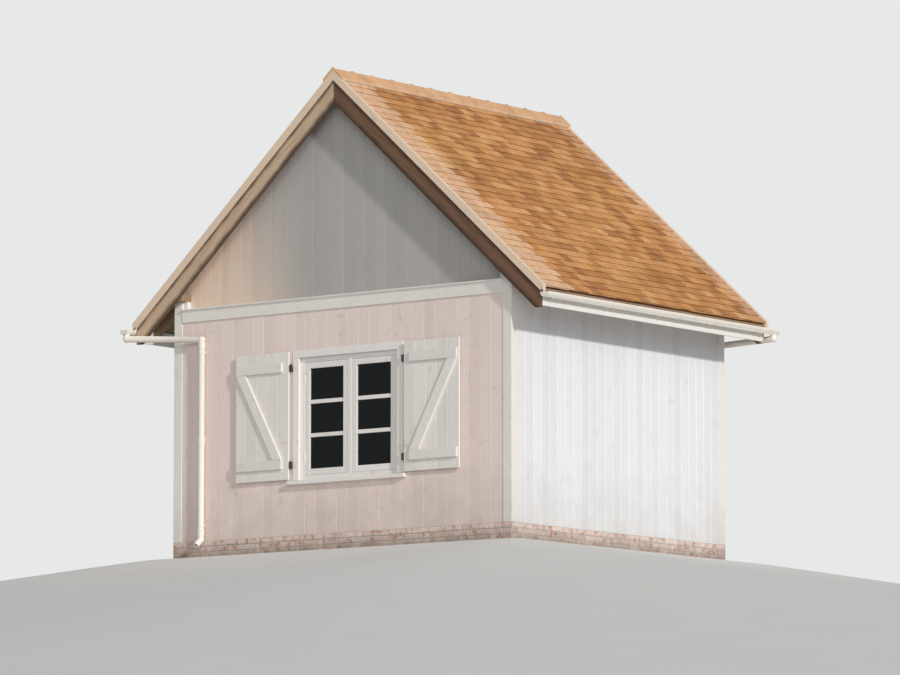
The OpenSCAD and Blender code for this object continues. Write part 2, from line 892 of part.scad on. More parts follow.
module rear_door() {
    color("#f4efe6")
        block([-door_half, door_face - door_t, plinth_h + door_gap],
              [door_half, door_face, plinth_h + door_h - door_frame_w - door_gap]);
}

// Two strap bands and a latch plate with its knob on the outer face of the door
module door_ironmongery() {
    door_bottom = plinth_h + door_gap;
    door_top = plinth_h + door_h - door_frame_w - door_gap;
    color("#3b3a38") {
        for (z = [door_bottom + door_strap_end, door_top - door_strap_end])
            block([door_half - band_l, door_face, z - band_h / 2], [door_half, door_face + band_t, z + band_h / 2]);
        translate([-door_half + latch_in, door_face, plinth_h + latch_h]) rotate([-90, 0, 0]) union() {
            translate([-band_h / 2, -latch_plate_h / 2, 0]) cube([band_h, latch_plate_h, band_t]);
            cylinder(r = pin_r, h = knob_out - pin_r);
            translate([0, 0, knob_out - pin_r]) cylinder(r = knob_r, h = pin_r);
        }
    }
}

plinth();
floor_slab();
floor_deck();
front_wall();
rear_wall();
left_wall();
right_wall();
front_gable();
rear_gable();
gable_bands();
corner_boards();
wall_plates();
rafters();
collar_ties();
ridge_board();
eaves_blocks();
left_roof_boards();
right_roof_boards();
left_roof_tiles();
right_roof_tiles();
ridge_tiles();
front_bargeboards();
rear_bargeboards();
verge_trims();
left_fascia();
right_fascia();
left_gutter();
right_gutter();
gutter_brackets();
front_downpipe();
rear_downpipe();
pipe_clips();
window_casing();
window_sill();
window_frame();
left_casement();
right_casement();
window_glass();
left_shutter();
left_shutter_bands();
right_shutter();
right_shutter_bands();
shutter_pintles();
door_frame();
rear_door();
door_ironmongery();
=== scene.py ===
"""Looks of a small white-boarded boathouse with a clay tile roof, in metres, +Z up.

The window gable looks along -Y, the ridge runs along Y and the ground is at height 0.
"""

import json
import math

import bmesh
import bpy
import numpy as np
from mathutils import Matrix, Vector

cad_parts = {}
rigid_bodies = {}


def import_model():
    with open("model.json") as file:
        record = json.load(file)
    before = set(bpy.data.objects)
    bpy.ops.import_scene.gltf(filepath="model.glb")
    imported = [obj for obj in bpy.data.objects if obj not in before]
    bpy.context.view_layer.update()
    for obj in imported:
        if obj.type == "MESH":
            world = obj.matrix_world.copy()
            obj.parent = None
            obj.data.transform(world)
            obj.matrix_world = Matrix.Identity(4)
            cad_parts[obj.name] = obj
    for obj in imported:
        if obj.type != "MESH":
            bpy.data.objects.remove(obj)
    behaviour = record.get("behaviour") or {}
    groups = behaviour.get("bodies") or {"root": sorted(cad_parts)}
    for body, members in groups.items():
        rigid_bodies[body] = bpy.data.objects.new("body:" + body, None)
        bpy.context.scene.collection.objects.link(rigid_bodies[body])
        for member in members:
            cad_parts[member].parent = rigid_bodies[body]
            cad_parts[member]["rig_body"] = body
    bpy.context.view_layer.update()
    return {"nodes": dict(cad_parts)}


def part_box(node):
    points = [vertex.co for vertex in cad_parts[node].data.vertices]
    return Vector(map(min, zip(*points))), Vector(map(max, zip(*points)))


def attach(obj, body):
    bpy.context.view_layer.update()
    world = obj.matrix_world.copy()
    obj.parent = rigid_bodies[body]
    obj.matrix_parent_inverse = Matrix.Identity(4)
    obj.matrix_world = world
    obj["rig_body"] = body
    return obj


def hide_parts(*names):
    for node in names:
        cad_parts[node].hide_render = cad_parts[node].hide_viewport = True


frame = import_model()


# Plinth: three courses of lime-painted brick in running bond, laid in mortar round the slab. The
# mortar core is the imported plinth, and each brick's face stands a little proud of it.

def chamfered_blocks(centre, half, ease, axes=None):
    """Corner points and faces of many chamfered boxes.

    Each box corner becomes three points, one for each face that meets there: a point is
    centre + sign * half, drawn in by the ease along the two axes that lie in its face.
    The local axes are rows of a turning matrix, one for all the boxes or one for each.
    """
    centre = np.atleast_2d(np.asarray(centre, float))
    half = np.broadcast_to(np.asarray(half, float), centre.shape)
    signs = np.array([[x, y, z] for x in (-1, 1) for y in (-1, 1) for z in (-1, 1)], float)
    drawn_in = 1.0 - np.eye(3)
    reach = half[:, None, None, :] - ease * drawn_in[None, None]
    local = (signs[None, :, None, :] * reach).reshape(len(centre), 24, 3)
    axes = np.eye(3) if axes is None else np.asarray(axes, float)
    turned = np.einsum("nvi,nij->nvj", local, np.broadcast_to(axes, (len(centre), 3, 3)))
    return local, turned + centre[:, None, :]


def block_faces(count):
    """Six sides, twelve chamfers and eight corner triangles of each block, wound outwards.

    A point's number is 3 times its corner's, plus the axis that its face looks along.
    """
    corners = np.arange(8).reshape(2, 2, 2)
    quads = []
    for axis in range(3):
        a, b = [k for k in range(3) if k != axis]
        ends = np.moveaxis(corners, axis, 0).reshape(2, 4)
        quads += [end[[0, 2, 3, 1]] * 3 + axis for end in ends]
        quads += [np.array([low * 3 + a, high * 3 + a, high * 3 + b, low * 3 + b]) for low, high in ends.T]
    tris = np.arange(24).reshape(8, 3)
    model = chamfered_blocks([[0, 0, 0]], [1, 1, 1], 0.2)[0][0]

    def outwards(face):
        """The face as it is, or reversed where its normal looks towards the middle."""
        p = model[face]
        normal = np.cross(p[1] - p[0], p[2] - p[0])
        return face if normal @ p.mean(0) > 0 else face[::-1]

    start = np.arange(count)[:, None, None] * 24
    quads = np.array([outwards(f) for f in quads])[None] + start
    tris = np.array([outwards(f) for f in tris])[None] + start
    return [quads.reshape(-1, 4), tris.reshape(-1, 3)]


def placed(name, data):
    """A new object in the scene that shows a mesh, a lamp or a camera."""
    shown = bpy.data.objects.new(name, data)
    bpy.context.scene.collection.objects.link(shown)
    return shown


def marked(mesh, name, values):
    """Gives each point of the mesh a number that materials read under this name."""
    mark = mesh.attributes.get(name) or mesh.attributes.new(name, "FLOAT", "POINT")
    mark.data.foreach_set("value", np.ones(len(mesh.vertices)) * values)


def grained(mesh, grain):
    """Gives each point of the mesh its place in the board's own grain."""
    mark = mesh.attributes.new("grain", "FLOAT_VECTOR", "POINT")
    mark.data.foreach_set("vector", np.asarray(grain, float).ravel())


def mesh_piece(name, body, points, faces, grain=None, tone=None, smooth=False):
    """One closed piece from an array of points and a list of face arrays.

    The grain attribute holds each point's place in its own board, with the length along z,
    and the tone attribute holds a number from 0 to 1 that differs from board to board.
    """
    points = np.asarray(points, float).reshape(-1, 3)
    mesh = bpy.data.meshes.new(name)
    loops = np.concatenate([f.ravel() for f in faces])
    sizes = np.concatenate([np.full(len(f), f.shape[1]) for f in faces])
    mesh.vertices.add(len(points))
    mesh.vertices.foreach_set("co", points.ravel())
    mesh.loops.add(len(loops))
    mesh.loops.foreach_set("vertex_index", loops.astype(np.int32))
    mesh.polygons.add(len(sizes))
    starts = np.concatenate([[0], np.cumsum(sizes)[:-1]])
    mesh.polygons.foreach_set("loop_start", starts.astype(np.int32))
    mesh.polygons.foreach_set("use_smooth", np.full(len(sizes), smooth))
    mesh.update(calc_edges=True)
    grained(mesh, points if grain is None else grain)
    marked(mesh, "tone", 0.5 if tone is None else tone)
    piece = placed(name, mesh)
    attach(piece, body)
    return piece


def block_piece(name, body, centre, half, ease, along, rng, axes=None, shift=None):
    """A piece made of chamfered blocks, each with its own tone and its own stretch of grain.

    along is the local axis that the grain follows. shift, if given, moves the turned points.
    """
    local, points = chamfered_blocks(centre, half, ease, axes)
    count = len(local)
    order = [k for k in range(3) if k != along] + [along]
    grain = local[:, :, order] + rng.uniform(0, 40, (count, 1, 3))
    tone = np.repeat(rng.uniform(0, 1, count), 24)
    if shift is not None:
        points = shift(points, local)
    return mesh_piece(name, body, points, block_faces(count), grain, tone)


def noise(graph, vector, scale, detail=4.0, roughness=0.55):
    """The Fac output of a noise texture that reads the given vector."""
    texture = graph.nodes.new("ShaderNodeTexNoise")
    texture.inputs["Scale"].default_value = scale
    texture.inputs["Detail"].default_value = detail
    texture.inputs["Roughness"].default_value = roughness
    graph.links.new(vector, texture.inputs["Vector"])
    return texture.outputs["Fac"]


def stretched(graph, vector, scale):
    """The vector times one number on each axis."""
    mapping = graph.nodes.new("ShaderNodeMapping")
    mapping.inputs["Scale"].default_value = scale
    graph.links.new(vector, mapping.inputs["Vector"])
    return mapping.outputs["Vector"]


def ranged(graph, value, low, high, to_low=0.0, to_high=1.0):
    """The value carried from one range to another and kept inside it."""
    node = graph.nodes.new("ShaderNodeMapRange")
    node.inputs["From Min"].default_value = low
    node.inputs["From Max"].default_value = high
    node.inputs["To Min"].default_value = to_low
    node.inputs["To Max"].default_value = to_high
    graph.links.new(value, node.inputs["Value"])
    return node.outputs["Result"]


def maths(graph, how, a, b):
    """One Math node on two values, each a socket or a number."""
    node = graph.nodes.new("ShaderNodeMath")
    node.operation = how
    for socket, value in zip(node.inputs, (a, b)):
        if isinstance(value, (int, float)):
            socket.default_value = value
        else:
            graph.links.new(value, socket)
    return node.outputs["Value"]


def blended(graph, share, a, b, how="MIX"):
    """One colour mixed into another by a share that is a socket or a number."""
    node = graph.nodes.new("ShaderNodeMix")
    node.data_type = "RGBA"
    node.blend_type = how
    for socket, value in ((node.inputs[0], share), (node.inputs[6], a), (node.inputs[7], b)):
        if isinstance(value, bpy.types.NodeSocket):
            graph.links.new(value, socket)
        elif isinstance(value, (int, float)):
            socket.default_value = value
        else:
            socket.default_value = (*value, 1.0)
    return node.outputs[2]


def surfaced(material, shader, colour, height, distance, strength=1.0):
    """The material with a colour and a bump of the height joined to its shader."""
    graph = material.node_tree
    bump = graph.nodes.new("ShaderNodeBump")
    bump.inputs["Distance"].default_value = distance
    bump.inputs["Strength"].default_value = strength
    graph.links.new(height, bump.inputs["Height"])
    graph.links.new(bump.outputs["Normal"], shader.inputs["Normal"])
    graph.links.new(colour, shader.inputs["Base Color"])
    return material


def effect_group(name, inputs, outputs):
    """An empty shader node group with named number, colour and vector sockets."""
    group = bpy.data.node_groups.new(name, "ShaderNodeTree")
    kinds = {"value": "NodeSocketFloat", "colour": "NodeSocketColor", "vector": "NodeSocketVector"}
    for label, kind in inputs:
        group.interface.new_socket(label, in_out="INPUT", socket_type=kinds[kind])
    for label, kind in outputs:
        group.interface.new_socket(label, in_out="OUTPUT", socket_type=kinds[kind])
    return group, group.nodes.new("NodeGroupInput"), group.nodes.new("NodeGroupOutput")


def weather_group():
    """Dirt that gathers low on the walls, in rain streaks and in soft clouds.

    Splash falls from 1 at the ground to 0 at the splash height, broken by noise. Streaks are
    noise stretched tall and kept to its peaks. Clouds are broad noise.
    """
    group, given, out = effect_group(
        "rain streaks and splash",
        [("Place", "vector"), ("Splash Height", "value")],
        [("Splash", "value"), ("Streaks", "value"), ("Clouds", "value")],
    )
    place = given.outputs["Place"]
    split = group.nodes.new("ShaderNodeSeparateXYZ")
    group.links.new(place, split.inputs["Vector"])
    level = maths(group, "DIVIDE", split.outputs["Z"], given.outputs["Splash Height"])
    broken = noise(group, place, 3.1, 6.0, 0.65)
    raised = maths(group, "ADD", level, ranged(group, broken, 0.25, 0.75, -0.45, 0.45))
    group.links.new(ranged(group, raised, 0.0, 1.0, 1.0, 0.0), out.inputs["Splash"])
    tall = stretched(group, place, (9.0, 9.0, 0.55))
    streaks = noise(group, tall, 1.0, 5.0, 0.6)
    group.links.new(ranged(group, streaks, 0.52, 0.78), out.inputs["Streaks"])
    clouds = noise(group, place, 0.9, 4.0, 0.5)
    group.links.new(ranged(group, clouds, 0.35, 0.7), out.inputs["Clouds"])
    return group


rain_and_splash = weather_group()


def effect(graph, group, vector, number=None):
    """Places a node group in a graph, fed by a vector and a number, and gives its outputs."""
    node = graph.nodes.new("ShaderNodeGroup")
    node.node_tree = group
    graph.links.new(vector, node.inputs[0])
    if number is not None:
        node.inputs[1].default_value = number
    return node.outputs


def layered(graph, colour, marks, layers, strength=1.0):
    """The colour under thin layers: each is a (mark, share, tint) that the mark lays on."""
    for mark, share, tint in layers:
        cover = maths(graph, "MULTIPLY", marks[mark], share * strength)
        colour = blended(graph, cover, colour, tint)
    return colour


def finish_of(name, roughness, **sockets):
    """A new material with a Principled shader, and its graph, shader and object place."""
    material = bpy.data.materials.new(name)
    material.use_nodes = True
    graph = material.node_tree
    shader = graph.nodes["Principled BSDF"]
    shader.inputs["Roughness"].default_value = roughness
    for label, value in sockets.items():
        shader.inputs[label.replace("_", " ")].default_value = value
    place = graph.nodes.new("ShaderNodeTexCoord").outputs["Object"]
    return material, graph, shader, place


def attribute(graph, name, output):
    """One output of an Attribute node that reads a mesh attribute."""
    node = graph.nodes.new("ShaderNodeAttribute")
    node.attribute_name = name
    return node.outputs[output]


def brick_material():
    """Thin lime paint over red brick: the paint is worn through where fine noise peaks."""
    material, graph, shader, place = finish_of("lime_painted_brick", 0.85)
    tone = attribute(graph, "tone", "Fac")
    brick = blended(graph, tone, (0.42, 0.17, 0.10), (0.58, 0.30, 0.20))
    paint = blended(graph, tone, (0.66, 0.55, 0.49), (0.76, 0.66, 0.60))
    worn = ranged(graph, noise(graph, place, 14.0, 8.0, 0.7), 0.50, 0.62)
    colour = blended(graph, worn, paint, brick)
    marks = effect(graph, rain_and_splash, place, 0.16)
    colour = layered(graph, colour, marks, [("Splash", 0.7, (0.20, 0.16, 0.12))])
    return surfaced(material, shader, colour, noise(graph, place, 55.0, 8.0, 0.7), 0.003)


def gritty(name, roughness, dark, light, scale, detail, distance):
    """Mortar or concrete: fine grit between two greys."""
    material, graph, shader, place = finish_of(name, roughness)
    grit = noise(graph, place, scale, detail, 0.7)
    return surfaced(material, shader, blended(graph, grit, dark, light), grit, distance)


def brick_courses():
    """Bricks set along all four faces, each course shifted half a brick on the last."""
    rng = np.random.default_rng(11)
    low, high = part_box("plinth")
    courses, joint, proud, uneven = 3, 0.010, 0.006, 0.0015
    brick_l, brick_w, shortest = 0.22, 0.10, 0.03
    course_h = (high.z - low.z) / courses
    centres, halves = [], []
    for horizontal in (0, 1):
        reach = (high.x, high.y)[horizontal]
        face = (high.y, high.x)[horizontal]
        count = round(2 * reach / brick_l)
        spacing = 2 * reach / count
        for side in (-1, 1):
            for course in range(courses):
                edges = -reach + spacing * (np.arange(count + 1) + 0.5 * (course % 2))
                edges = np.unique(np.clip(np.concatenate([[-reach], edges]), -reach, reach))
                start, end = edges[:-1] + joint / 2, edges[1:] - joint / 2
                kept = end - start > shortest
                start, end = start[kept], end[kept]
                out = side * (face - brick_w / 2 + proud) + rng.uniform(-uneven, uneven, len(start))
                middle = np.column_stack([(start + end) / 2, out])
                size = np.column_stack([(end - start) / 2, np.full(len(start), brick_w / 2)])
                if horizontal:
                    middle, size = middle[:, ::-1], size[:, ::-1]
                height = low.z + course_h * (course + 0.5)
                centres.append(np.column_stack([middle, np.full(len(start), height)]))
                halves.append(np.column_stack([size, np.full(len(start), (course_h - joint) / 2)]))
    return np.concatenate(centres), np.concatenate(halves), rng


brick_centres, brick_halves, brick_rng = brick_courses()
bricks = block_piece("plinth_bricks", "hut", brick_centres, brick_halves, 0.004, 0, brick_rng)


def finished(piece, material):
    """Gives the piece its material."""
    piece.data.materials.clear()
    piece.data.materials.append(material)


def dress(node, material):
    """The CAD node shown as it is, in a finish of its own."""
    shown = frame["nodes"][node]
    shown.data.materials.clear()
    shown.data.materials.append(material)


finished(bricks, brick_material())
lime_mortar = gritty("lime_mortar", 0.95, (0.38, 0.34, 0.30), (0.60, 0.55, 0.49), 90.0, 6.0, 0.002)
dress("plinth", lime_mortar)


# Floor: planed boards laid along the hut on a concrete slab, inside the plinth. Both show only
# through the window and the door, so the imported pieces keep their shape.

def grain_group():
    """Long wood fibres and broad growth bands from a point's place in its own board.

    Both are noise read along the board at a small share of the scale used across it.
    """
    group, given, out = effect_group(
        "board grain",
        [("Grain", "vector"), ("Across", "value")],
        [("Fibres", "value"), ("Bands", "value")],
    )
    scaled = group.nodes.new("ShaderNodeVectorMath")
    scaled.operation = "SCALE"
    group.links.new(given.outputs["Grain"], scaled.inputs[0])
    group.links.new(given.outputs["Across"], scaled.inputs["Scale"])
    long_way = stretched(group, scaled.outputs["Vector"], (1.0, 1.0, 0.045))
    fine = noise(group, long_way, 1.0, 8.0, 0.65)
    group.links.new(ranged(group, fine, 0.3, 0.7), out.inputs["Fibres"])
    broad = stretched(group, scaled.outputs["Vector"], (0.18, 0.18, 0.012))
    wide = noise(group, broad, 1.0, 3.0, 0.5)
    group.links.new(ranged(group, wide, 0.3, 0.7), out.inputs["Bands"])
    return group


board_grain = grain_group()


def grain_of(graph, across):
    """The board grain group placed in a material and fed by the grain attribute."""
    return effect(graph, board_grain, attribute(graph, "grain", "Vector"), across)


def toned(graph, colour, darkest):
    """The colour times a grey from darkest to 1 that the tone attribute picks for each board."""
    grey = graph.nodes.new("ShaderNodeCombineColor")
    tone = ranged(graph, attribute(graph, "tone", "Fac"), 0.0, 1.0, darkest, 1.0)
    for channel in ("Red", "Green", "Blue"):
        graph.links.new(tone, grey.inputs[channel])
    return blended(graph, 1.0, colour, grey.outputs["Color"], "MULTIPLY")


def bare_timber(name, dark, light, across=90.0, roughness=0.7):
    """Unpainted softwood: fibres and bands carry it from a dark to a light tone."""
    material, graph, shader = finish_of(name, roughness)[:3]
    grain = grain_of(graph, across)
    share = maths(graph, "MULTIPLY", grain["Fibres"], 0.55)
    share = maths(graph, "ADD", share, maths(graph, "MULTIPLY", grain["Bands"], 0.45))
    colour = toned(graph, blended(graph, share, dark, light), 0.78)
    return surfaced(material, shader, colour, grain["Fibres"], 0.0012)


concrete = gritty("trowelled_concrete", 0.9, (0.26, 0.25, 0.23), (0.44, 0.43, 0.40), 60.0, 8.0, 0.001)
dress("floor_slab", concrete)


def corner_places(mesh):
    """The points of a mesh as an array with one row for each."""
    places = np.zeros(len(mesh.vertices) * 3)
    mesh.vertices.foreach_get("co", places)
    return places.reshape(-1, 3)


def eased_copy(node, ease, along=2, smooth=False):
    """A copy of a CAD node with its doubles merged and its edges eased, in place of the node.

    along is the axis that the grain follows: 0, 1 or 2, or "slope" for a piece that follows
    the roof, whose length runs as |x| * cos(pitch) - z * sin(pitch).
    """
    sharp, weld, level = math.radians(32), 0.00002, 0.002
    source = frame["nodes"][node]
    mesh = source.data.copy()
    mesh.name = node + "_eased"
    shown = placed(node + "_eased", mesh)
    merged = bmesh.new()
    merged.from_mesh(mesh)
    bmesh.ops.remove_doubles(merged, verts=merged.verts, dist=weld)
    bmesh.ops.dissolve_limit(merged, angle_limit=level, verts=merged.verts, edges=merged.edges)
    merged.to_mesh(mesh)
    merged.free()
    mesh.materials.clear()
    points = corner_places(mesh)
    if along == "slope":
        down = np.abs(points[:, 0]) * math.cos(pitch) - points[:, 2] * math.sin(pitch)
        across = np.abs(points[:, 0]) * math.sin(pitch) + points[:, 2] * math.cos(pitch)
        grained(mesh, np.column_stack([points[:, 1], across, down]))
    else:
        grained(mesh, points[:, [k for k in range(3) if k != along] + [along]])
    marked(mesh, "tone", 0.6)
    mesh.polygons.foreach_set("use_smooth", np.full(len(mesh.polygons), smooth))
    if smooth:
        mesh.set_sharp_from_angle(angle=sharp)
    if ease:
        bevel = shown.modifiers.new("eased_edges", "BEVEL")
        bevel.width = ease
        bevel.segments = 2
        bevel.limit_method = "ANGLE"
        bevel.angle_limit = sharp
    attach(shown, source["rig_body"])
    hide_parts(node)
    return shown


planed_softwood = bare_timber("planed_softwood", (0.34, 0.22, 0.13), (0.60, 0.44, 0.29), 70.0)
finished(eased_copy("floor_deck", 0.003, 1), planed_softwood)


# Walls: matched softwood boards nailed upright on the stud walls, painted white. Each board is
# eased along its edges, so that a fine V shows at every joint, and stops just over the plinth.

def painted_timber(name, paint, bare, wear=0.35, grime=0.5, splash_height=0.9, across=120.0, painted_sunlight=None):
    """Aged paint on timber.

    The tone attribute shifts each board a little, grain lifts through the paint, the wood shows
    where worn patches meet the grain, and the weather group adds splash, streaks and dust. Where
    a colour of painted sunlight is given, an attribute of the same name mixes it in as painted
    sunlight.
    """
    material, graph, shader, place = finish_of(name, 0.5)
    grain = grain_of(graph, across)
    if painted_sunlight:
        paint = blended(graph, attribute(graph, "painted_sunlight", "Fac"), paint, painted_sunlight)
    colour = toned(graph, paint, 0.92)
    marks = effect(graph, rain_and_splash, place, splash_height)
    colour = layered(graph, colour, marks, [
        ("Clouds", 0.30, (0.52, 0.46, 0.38)), ("Streaks", 0.35, (0.40, 0.36, 0.30)),
        ("Splash", 0.75, (0.30, 0.25, 0.17)),
    ], grime)
    patches = ranged(graph, noise(graph, place, 7.0, 6.0, 0.7), 0.60, 0.68)
    bared = maths(graph, "MULTIPLY", grain["Fibres"], wear)
    flaked = maths(graph, "MULTIPLY", patches, bared)
    colour = blended(graph, flaked, colour, bare)
    graph.links.new(ranged(graph, marks["Clouds"], 0.0, 1.0, 0.42, 0.62), shader.inputs["Roughness"])
    skin = maths(graph, "SUBTRACT", grain["Fibres"], maths(graph, "MULTIPLY", flaked, 1.5))
    return surfaced(material, shader, colour, skin, 0.0009)


# The wall paint is one white in two tints: painted warm light on the gable walls, painted cool light on the
# side walls.
front_white_warm_light = painted_timber("front_wall_white_painted_warm_light", (0.90, 0.775, 0.725), (0.38, 0.31, 0.25), 0.45, 0.4)
side_white_cool_light = painted_timber("side_wall_white_painted_cool_light", (0.86, 0.875, 0.90), (0.42, 0.38, 0.33), 0.3, 0.28)

board_out = 0.014
joint_half = 0.0006
foot_lap = 0.004
corner_w = 0.09
half_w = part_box("right_wall")[1].x
half_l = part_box("front_wall")[0].y * -1
corner_in = half_w - corner_w
foot_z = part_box("front_wall")[0].z - foot_lap
head_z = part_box("front_wall")[1].z
casing_low, casing_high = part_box("window_casing")
sill_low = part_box("window_sill")[0]


def zones(*zone):
    """Boards of equal width that fill each (from, to, count, low, high) zone of a wall.

    The four rows of the result are the boards' two edges along the wall, and their low and
    high ends.
    """
    rows = []
    for start, end, count, low, high in zone:
        edges = np.linspace(start, end, count + 1)
        rows.append([edges[:-1], edges[1:], np.full(count, low), np.full(count, high)])
    return np.concatenate(rows, axis=1)


def upright_boards(
        name, start, end, low, high, face, outward, axis, rng, ends=None, thick=board_out, ease=0.004):
    """Upright boards side by side on a wall plane.

    start and end are the boards' edges along the wall, low and high their ends, face the plane
    and outward its side. axis is 0 for a gable wall and 1 for a side wall. ends, if given, moves
    the top points, so that the boards can be cut to the slope.
    """
    uneven = 0.0006
    middle = (start + end) / 2
    width = (end - start) / 2 - joint_half
    height = (high - low) / 2
    level = (high + low) / 2
    depth = face + outward * thick / 2 + rng.uniform(-uneven, uneven, len(middle))
    half_t = np.full(len(middle), thick / 2)
    order = [axis, 1 - axis, 2]
    centre = np.column_stack([middle, depth, level])[:, order]
    half = np.column_stack([width, half_t, height])[:, order]
    return block_piece(name, "hut", centre, half, ease, 2, rng, shift=ends)


wall_rng = np.random.default_rng(23)
opening_in, under_sill = 0.02, 0.01
opening_from, opening_to = casing_low.x + opening_in, casing_high.x - opening_in
front = zones(
    (-corner_in, opening_from, 11, foot_z, head_z),
    (opening_to, corner_in, 9, foot_z, head_z),
    (opening_from, opening_to, 10, foot_z, sill_low.z + under_sill),
    (opening_from, opening_to, 10, casing_high.z - opening_in, head_z),
)
front_boards = upright_boards("front_wall_boards", *front, -half_l, -1, 0, wall_rng)
finished(front_boards, front_white_warm_light)

door_low, door_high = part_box("door_frame")
rear = zones(
    (-corner_in, door_low.x, 12, foot_z, head_z),
    (door_high.x, corner_in, 12, foot_z, head_z),
    (door_low.x, door_high.x, 6, door_high.z, head_z),
)
rear_boards = upright_boards("rear_wall_boards", *rear, half_l, 1, 0, wall_rng)
finished(rear_boards, front_white_warm_light)

both_sides = (("left", -1), ("right", 1))
side_wall = zones((-half_l + corner_w, half_l - corner_w, 26, foot_z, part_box("right_wall")[1].z))
for side_name, side in both_sides:
    side_boards = upright_boards(side_name + "_wall_boards", *side_wall, side * half_w, side, 1, wall_rng)
    finished(side_boards, side_white_cool_light)

for wall in ("front_wall", "rear_wall"):
    dress(wall, front_white_warm_light)
for wall in ("left_wall", "right_wall"):
    dress(wall, side_white_cool_light)


# Gable panels: lighter matched boards, set back behind the wall below. Their grey is painted
# shade, for the shadow that the verge casts over the upper gable. Their tops are cut to the slope
# under the roof boards, and a joint stands under the apex. Tile tops lie in
# z = apex_z - |x| * tan(pitch), and all else below them by depths square to the slope.
pitch = math.radians(42)
eave_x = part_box("right_roof_tiles")[1].x
apex_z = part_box("verge_trims")[1].z
tile_t = 0.055
board_t = 0.022
slope_gap = 0.004


def roof_z(x, depth):
    """Height of the roof's plane at a given depth: apex_z - |x| tan(pitch) - depth / cos(pitch)."""
    return apex_z - np.abs(x) * math.tan(pitch) - depth / math.cos(pitch)


def cut_to_slope(points, local):
    """Moves each board's top points to the underside of the roof boards, less a small gap."""
    top = local[:, :, 2] > 0
    inset = local[:, :, 2].max(1, keepdims=True) - local[:, :, 2]
    height = roof_z(points[:, :, 0], tile_t + board_t + slope_gap) - inset
    points[:, :, 2] = np.where(top, height, points[:, :, 2])
    return points


# The grey below is painted shade, and the warm cream given with it is painted sunlight.
gable_grey_painted_shade = painted_timber(
    "gable_grey_painted_shade", (0.47, 0.465, 0.455), (0.36, 0.32, 0.27), 0.25, 0.4, 0.4, painted_sunlight=(0.88, 0.70, 0.56))
gable_count, panel_t, behind_cap, shortest_board = 32, 0.012, 0.012, 0.03
sun_from, sun_fade, sun_lean = 0.55, 0.95, 0.45
plate_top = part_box("wall_plates")[1].z
# Each end board stands on a wall plate, and the others go down behind the band's cap.
cap_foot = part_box("gable_bands")[1].z - behind_cap
panel_from, panel_to, panel_low = zones((-half_w, half_w, gable_count, cap_foot, 0.0))[:3]
panel_low[[0, -1]] = plate_top + 0.002
panel_high = roof_z((panel_from + panel_to) / 2, tile_t + board_t)
panel_high = np.maximum(panel_high, panel_low + shortest_board)
for gable, side in (("front", -1), ("rear", 1)):
    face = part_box(gable + "_gable")[0 if side < 0 else 1].y
    panel = upright_boards(
        gable + "_gable_boards", panel_from, panel_to, panel_low, panel_high, face, side, 0, wall_rng,
        cut_to_slope, panel_t, 0.0025)
    # Painted sunlight: the grey turns to a warm cream in the lower corner that the roof doesn't shade.
    places = corner_places(panel.data)
    towards_corner = places[:, 0] * side - sun_lean * (places[:, 2] - plate_top)
    marked(panel.data, "painted_sunlight", np.clip((towards_corner - sun_from) / sun_fade, 0.0, 1.0))
    finished(panel, gable_grey_painted_shade)
    dress(gable + "_gable", gable_grey_painted_shade)


# Trim on the walls: corner boards from the plinth to the plates, and the band board under its
# sloped cap across each gable. They are planed softwood, painted white and nailed on.
trim_white = painted_timber("trim_white", (0.88, 0.86, 0.82), (0.38, 0.32, 0.26), 0.4, 0.35, 0.7, 100.0)
for node, ease, along in (("corner_boards", 0.004, 2), ("gable_bands", 0.004, 0)):
    finished(eased_copy(node, ease, along), trim_white)


# Roof frame: sawn softwood rafters bird's-mouthed over the wall plates, collar ties nailed to
# every second pair, and a ridge board. Blocks close the eaves between the rafters.
sawn_softwood = bare_timber("sawn_softwood", (0.24, 0.145, 0.085), (0.46, 0.31, 0.20))
for node, along in (("wall_plates", 1), ("rafters", "slope"), ("collar_ties", 0), ("ridge_board", 1)):
    finished(eased_copy(node, 0.003, along), sawn_softwood)
finished(eased_copy("eaves_blocks", 0.002, 1), trim_white)

# Roof boards: planed boards laid along the hut over the rafters, edge to edge. Their undersides
# show at the eaves and the verges.
roof_rng = np.random.default_rng(31)
roof_board_count, ridge_space = 30, 0.004
boards_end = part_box("right_roof_boards")[1]


def slope_point(side, across, along, depth):
    """The point at a distance up the slope from the eaves, along Y, at a depth under the tiles."""
    x = eave_x - across * math.cos(pitch) - depth * math.sin(pitch)
    z = roof_z(eave_x, 0.0) + across * math.sin(pitch) - depth * math.cos(pitch)
    return np.column_stack([side * x, np.broadcast_to(along, np.shape(x)), z])


def slope_frame(side, tilt=0.0):
    """Turning matrix of a piece laid on a slope: its x runs up the slope and its z stands proud.

    tilt leans the upper end into the roof, as an overlapping tile does.
    """
    up = np.array([-side * math.cos(pitch), 0.0, math.sin(pitch)])
    out = np.array([side * math.sin(pitch), 0.0, math.cos(pitch)])
    lean_up = up * math.cos(tilt) - out * math.sin(tilt)
    lean_out = out * math.cos(tilt) + up * math.sin(tilt)
    return np.stack([lean_up, np.cross(lean_out, lean_up), lean_out])


slope_l = eave_x / math.cos(pitch)
first = (eave_x - boards_end.x - (tile_t + board_t) * math.sin(pitch)) / math.cos(pitch)
last = slope_l - (tile_t + board_t) * math.tan(pitch) - ridge_space
edges = np.linspace(first, last, roof_board_count + 1)
middle = (edges[:-1] + edges[1:]) / 2
half = np.array([(edges[1] - edges[0]) / 2 - joint_half, boards_end.y, board_t / 2 - joint_half])
for side_name, side in both_sides:
    centre = slope_point(side, middle, 0.0, tile_t + board_t / 2)
    boards = block_piece(
        side_name + "_roof_boards_laid", "hut", centre, half, 0.003, 1, roof_rng, slope_frame(side))
    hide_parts(side_name + "_roof_boards")
    finished(boards, planed_softwood)


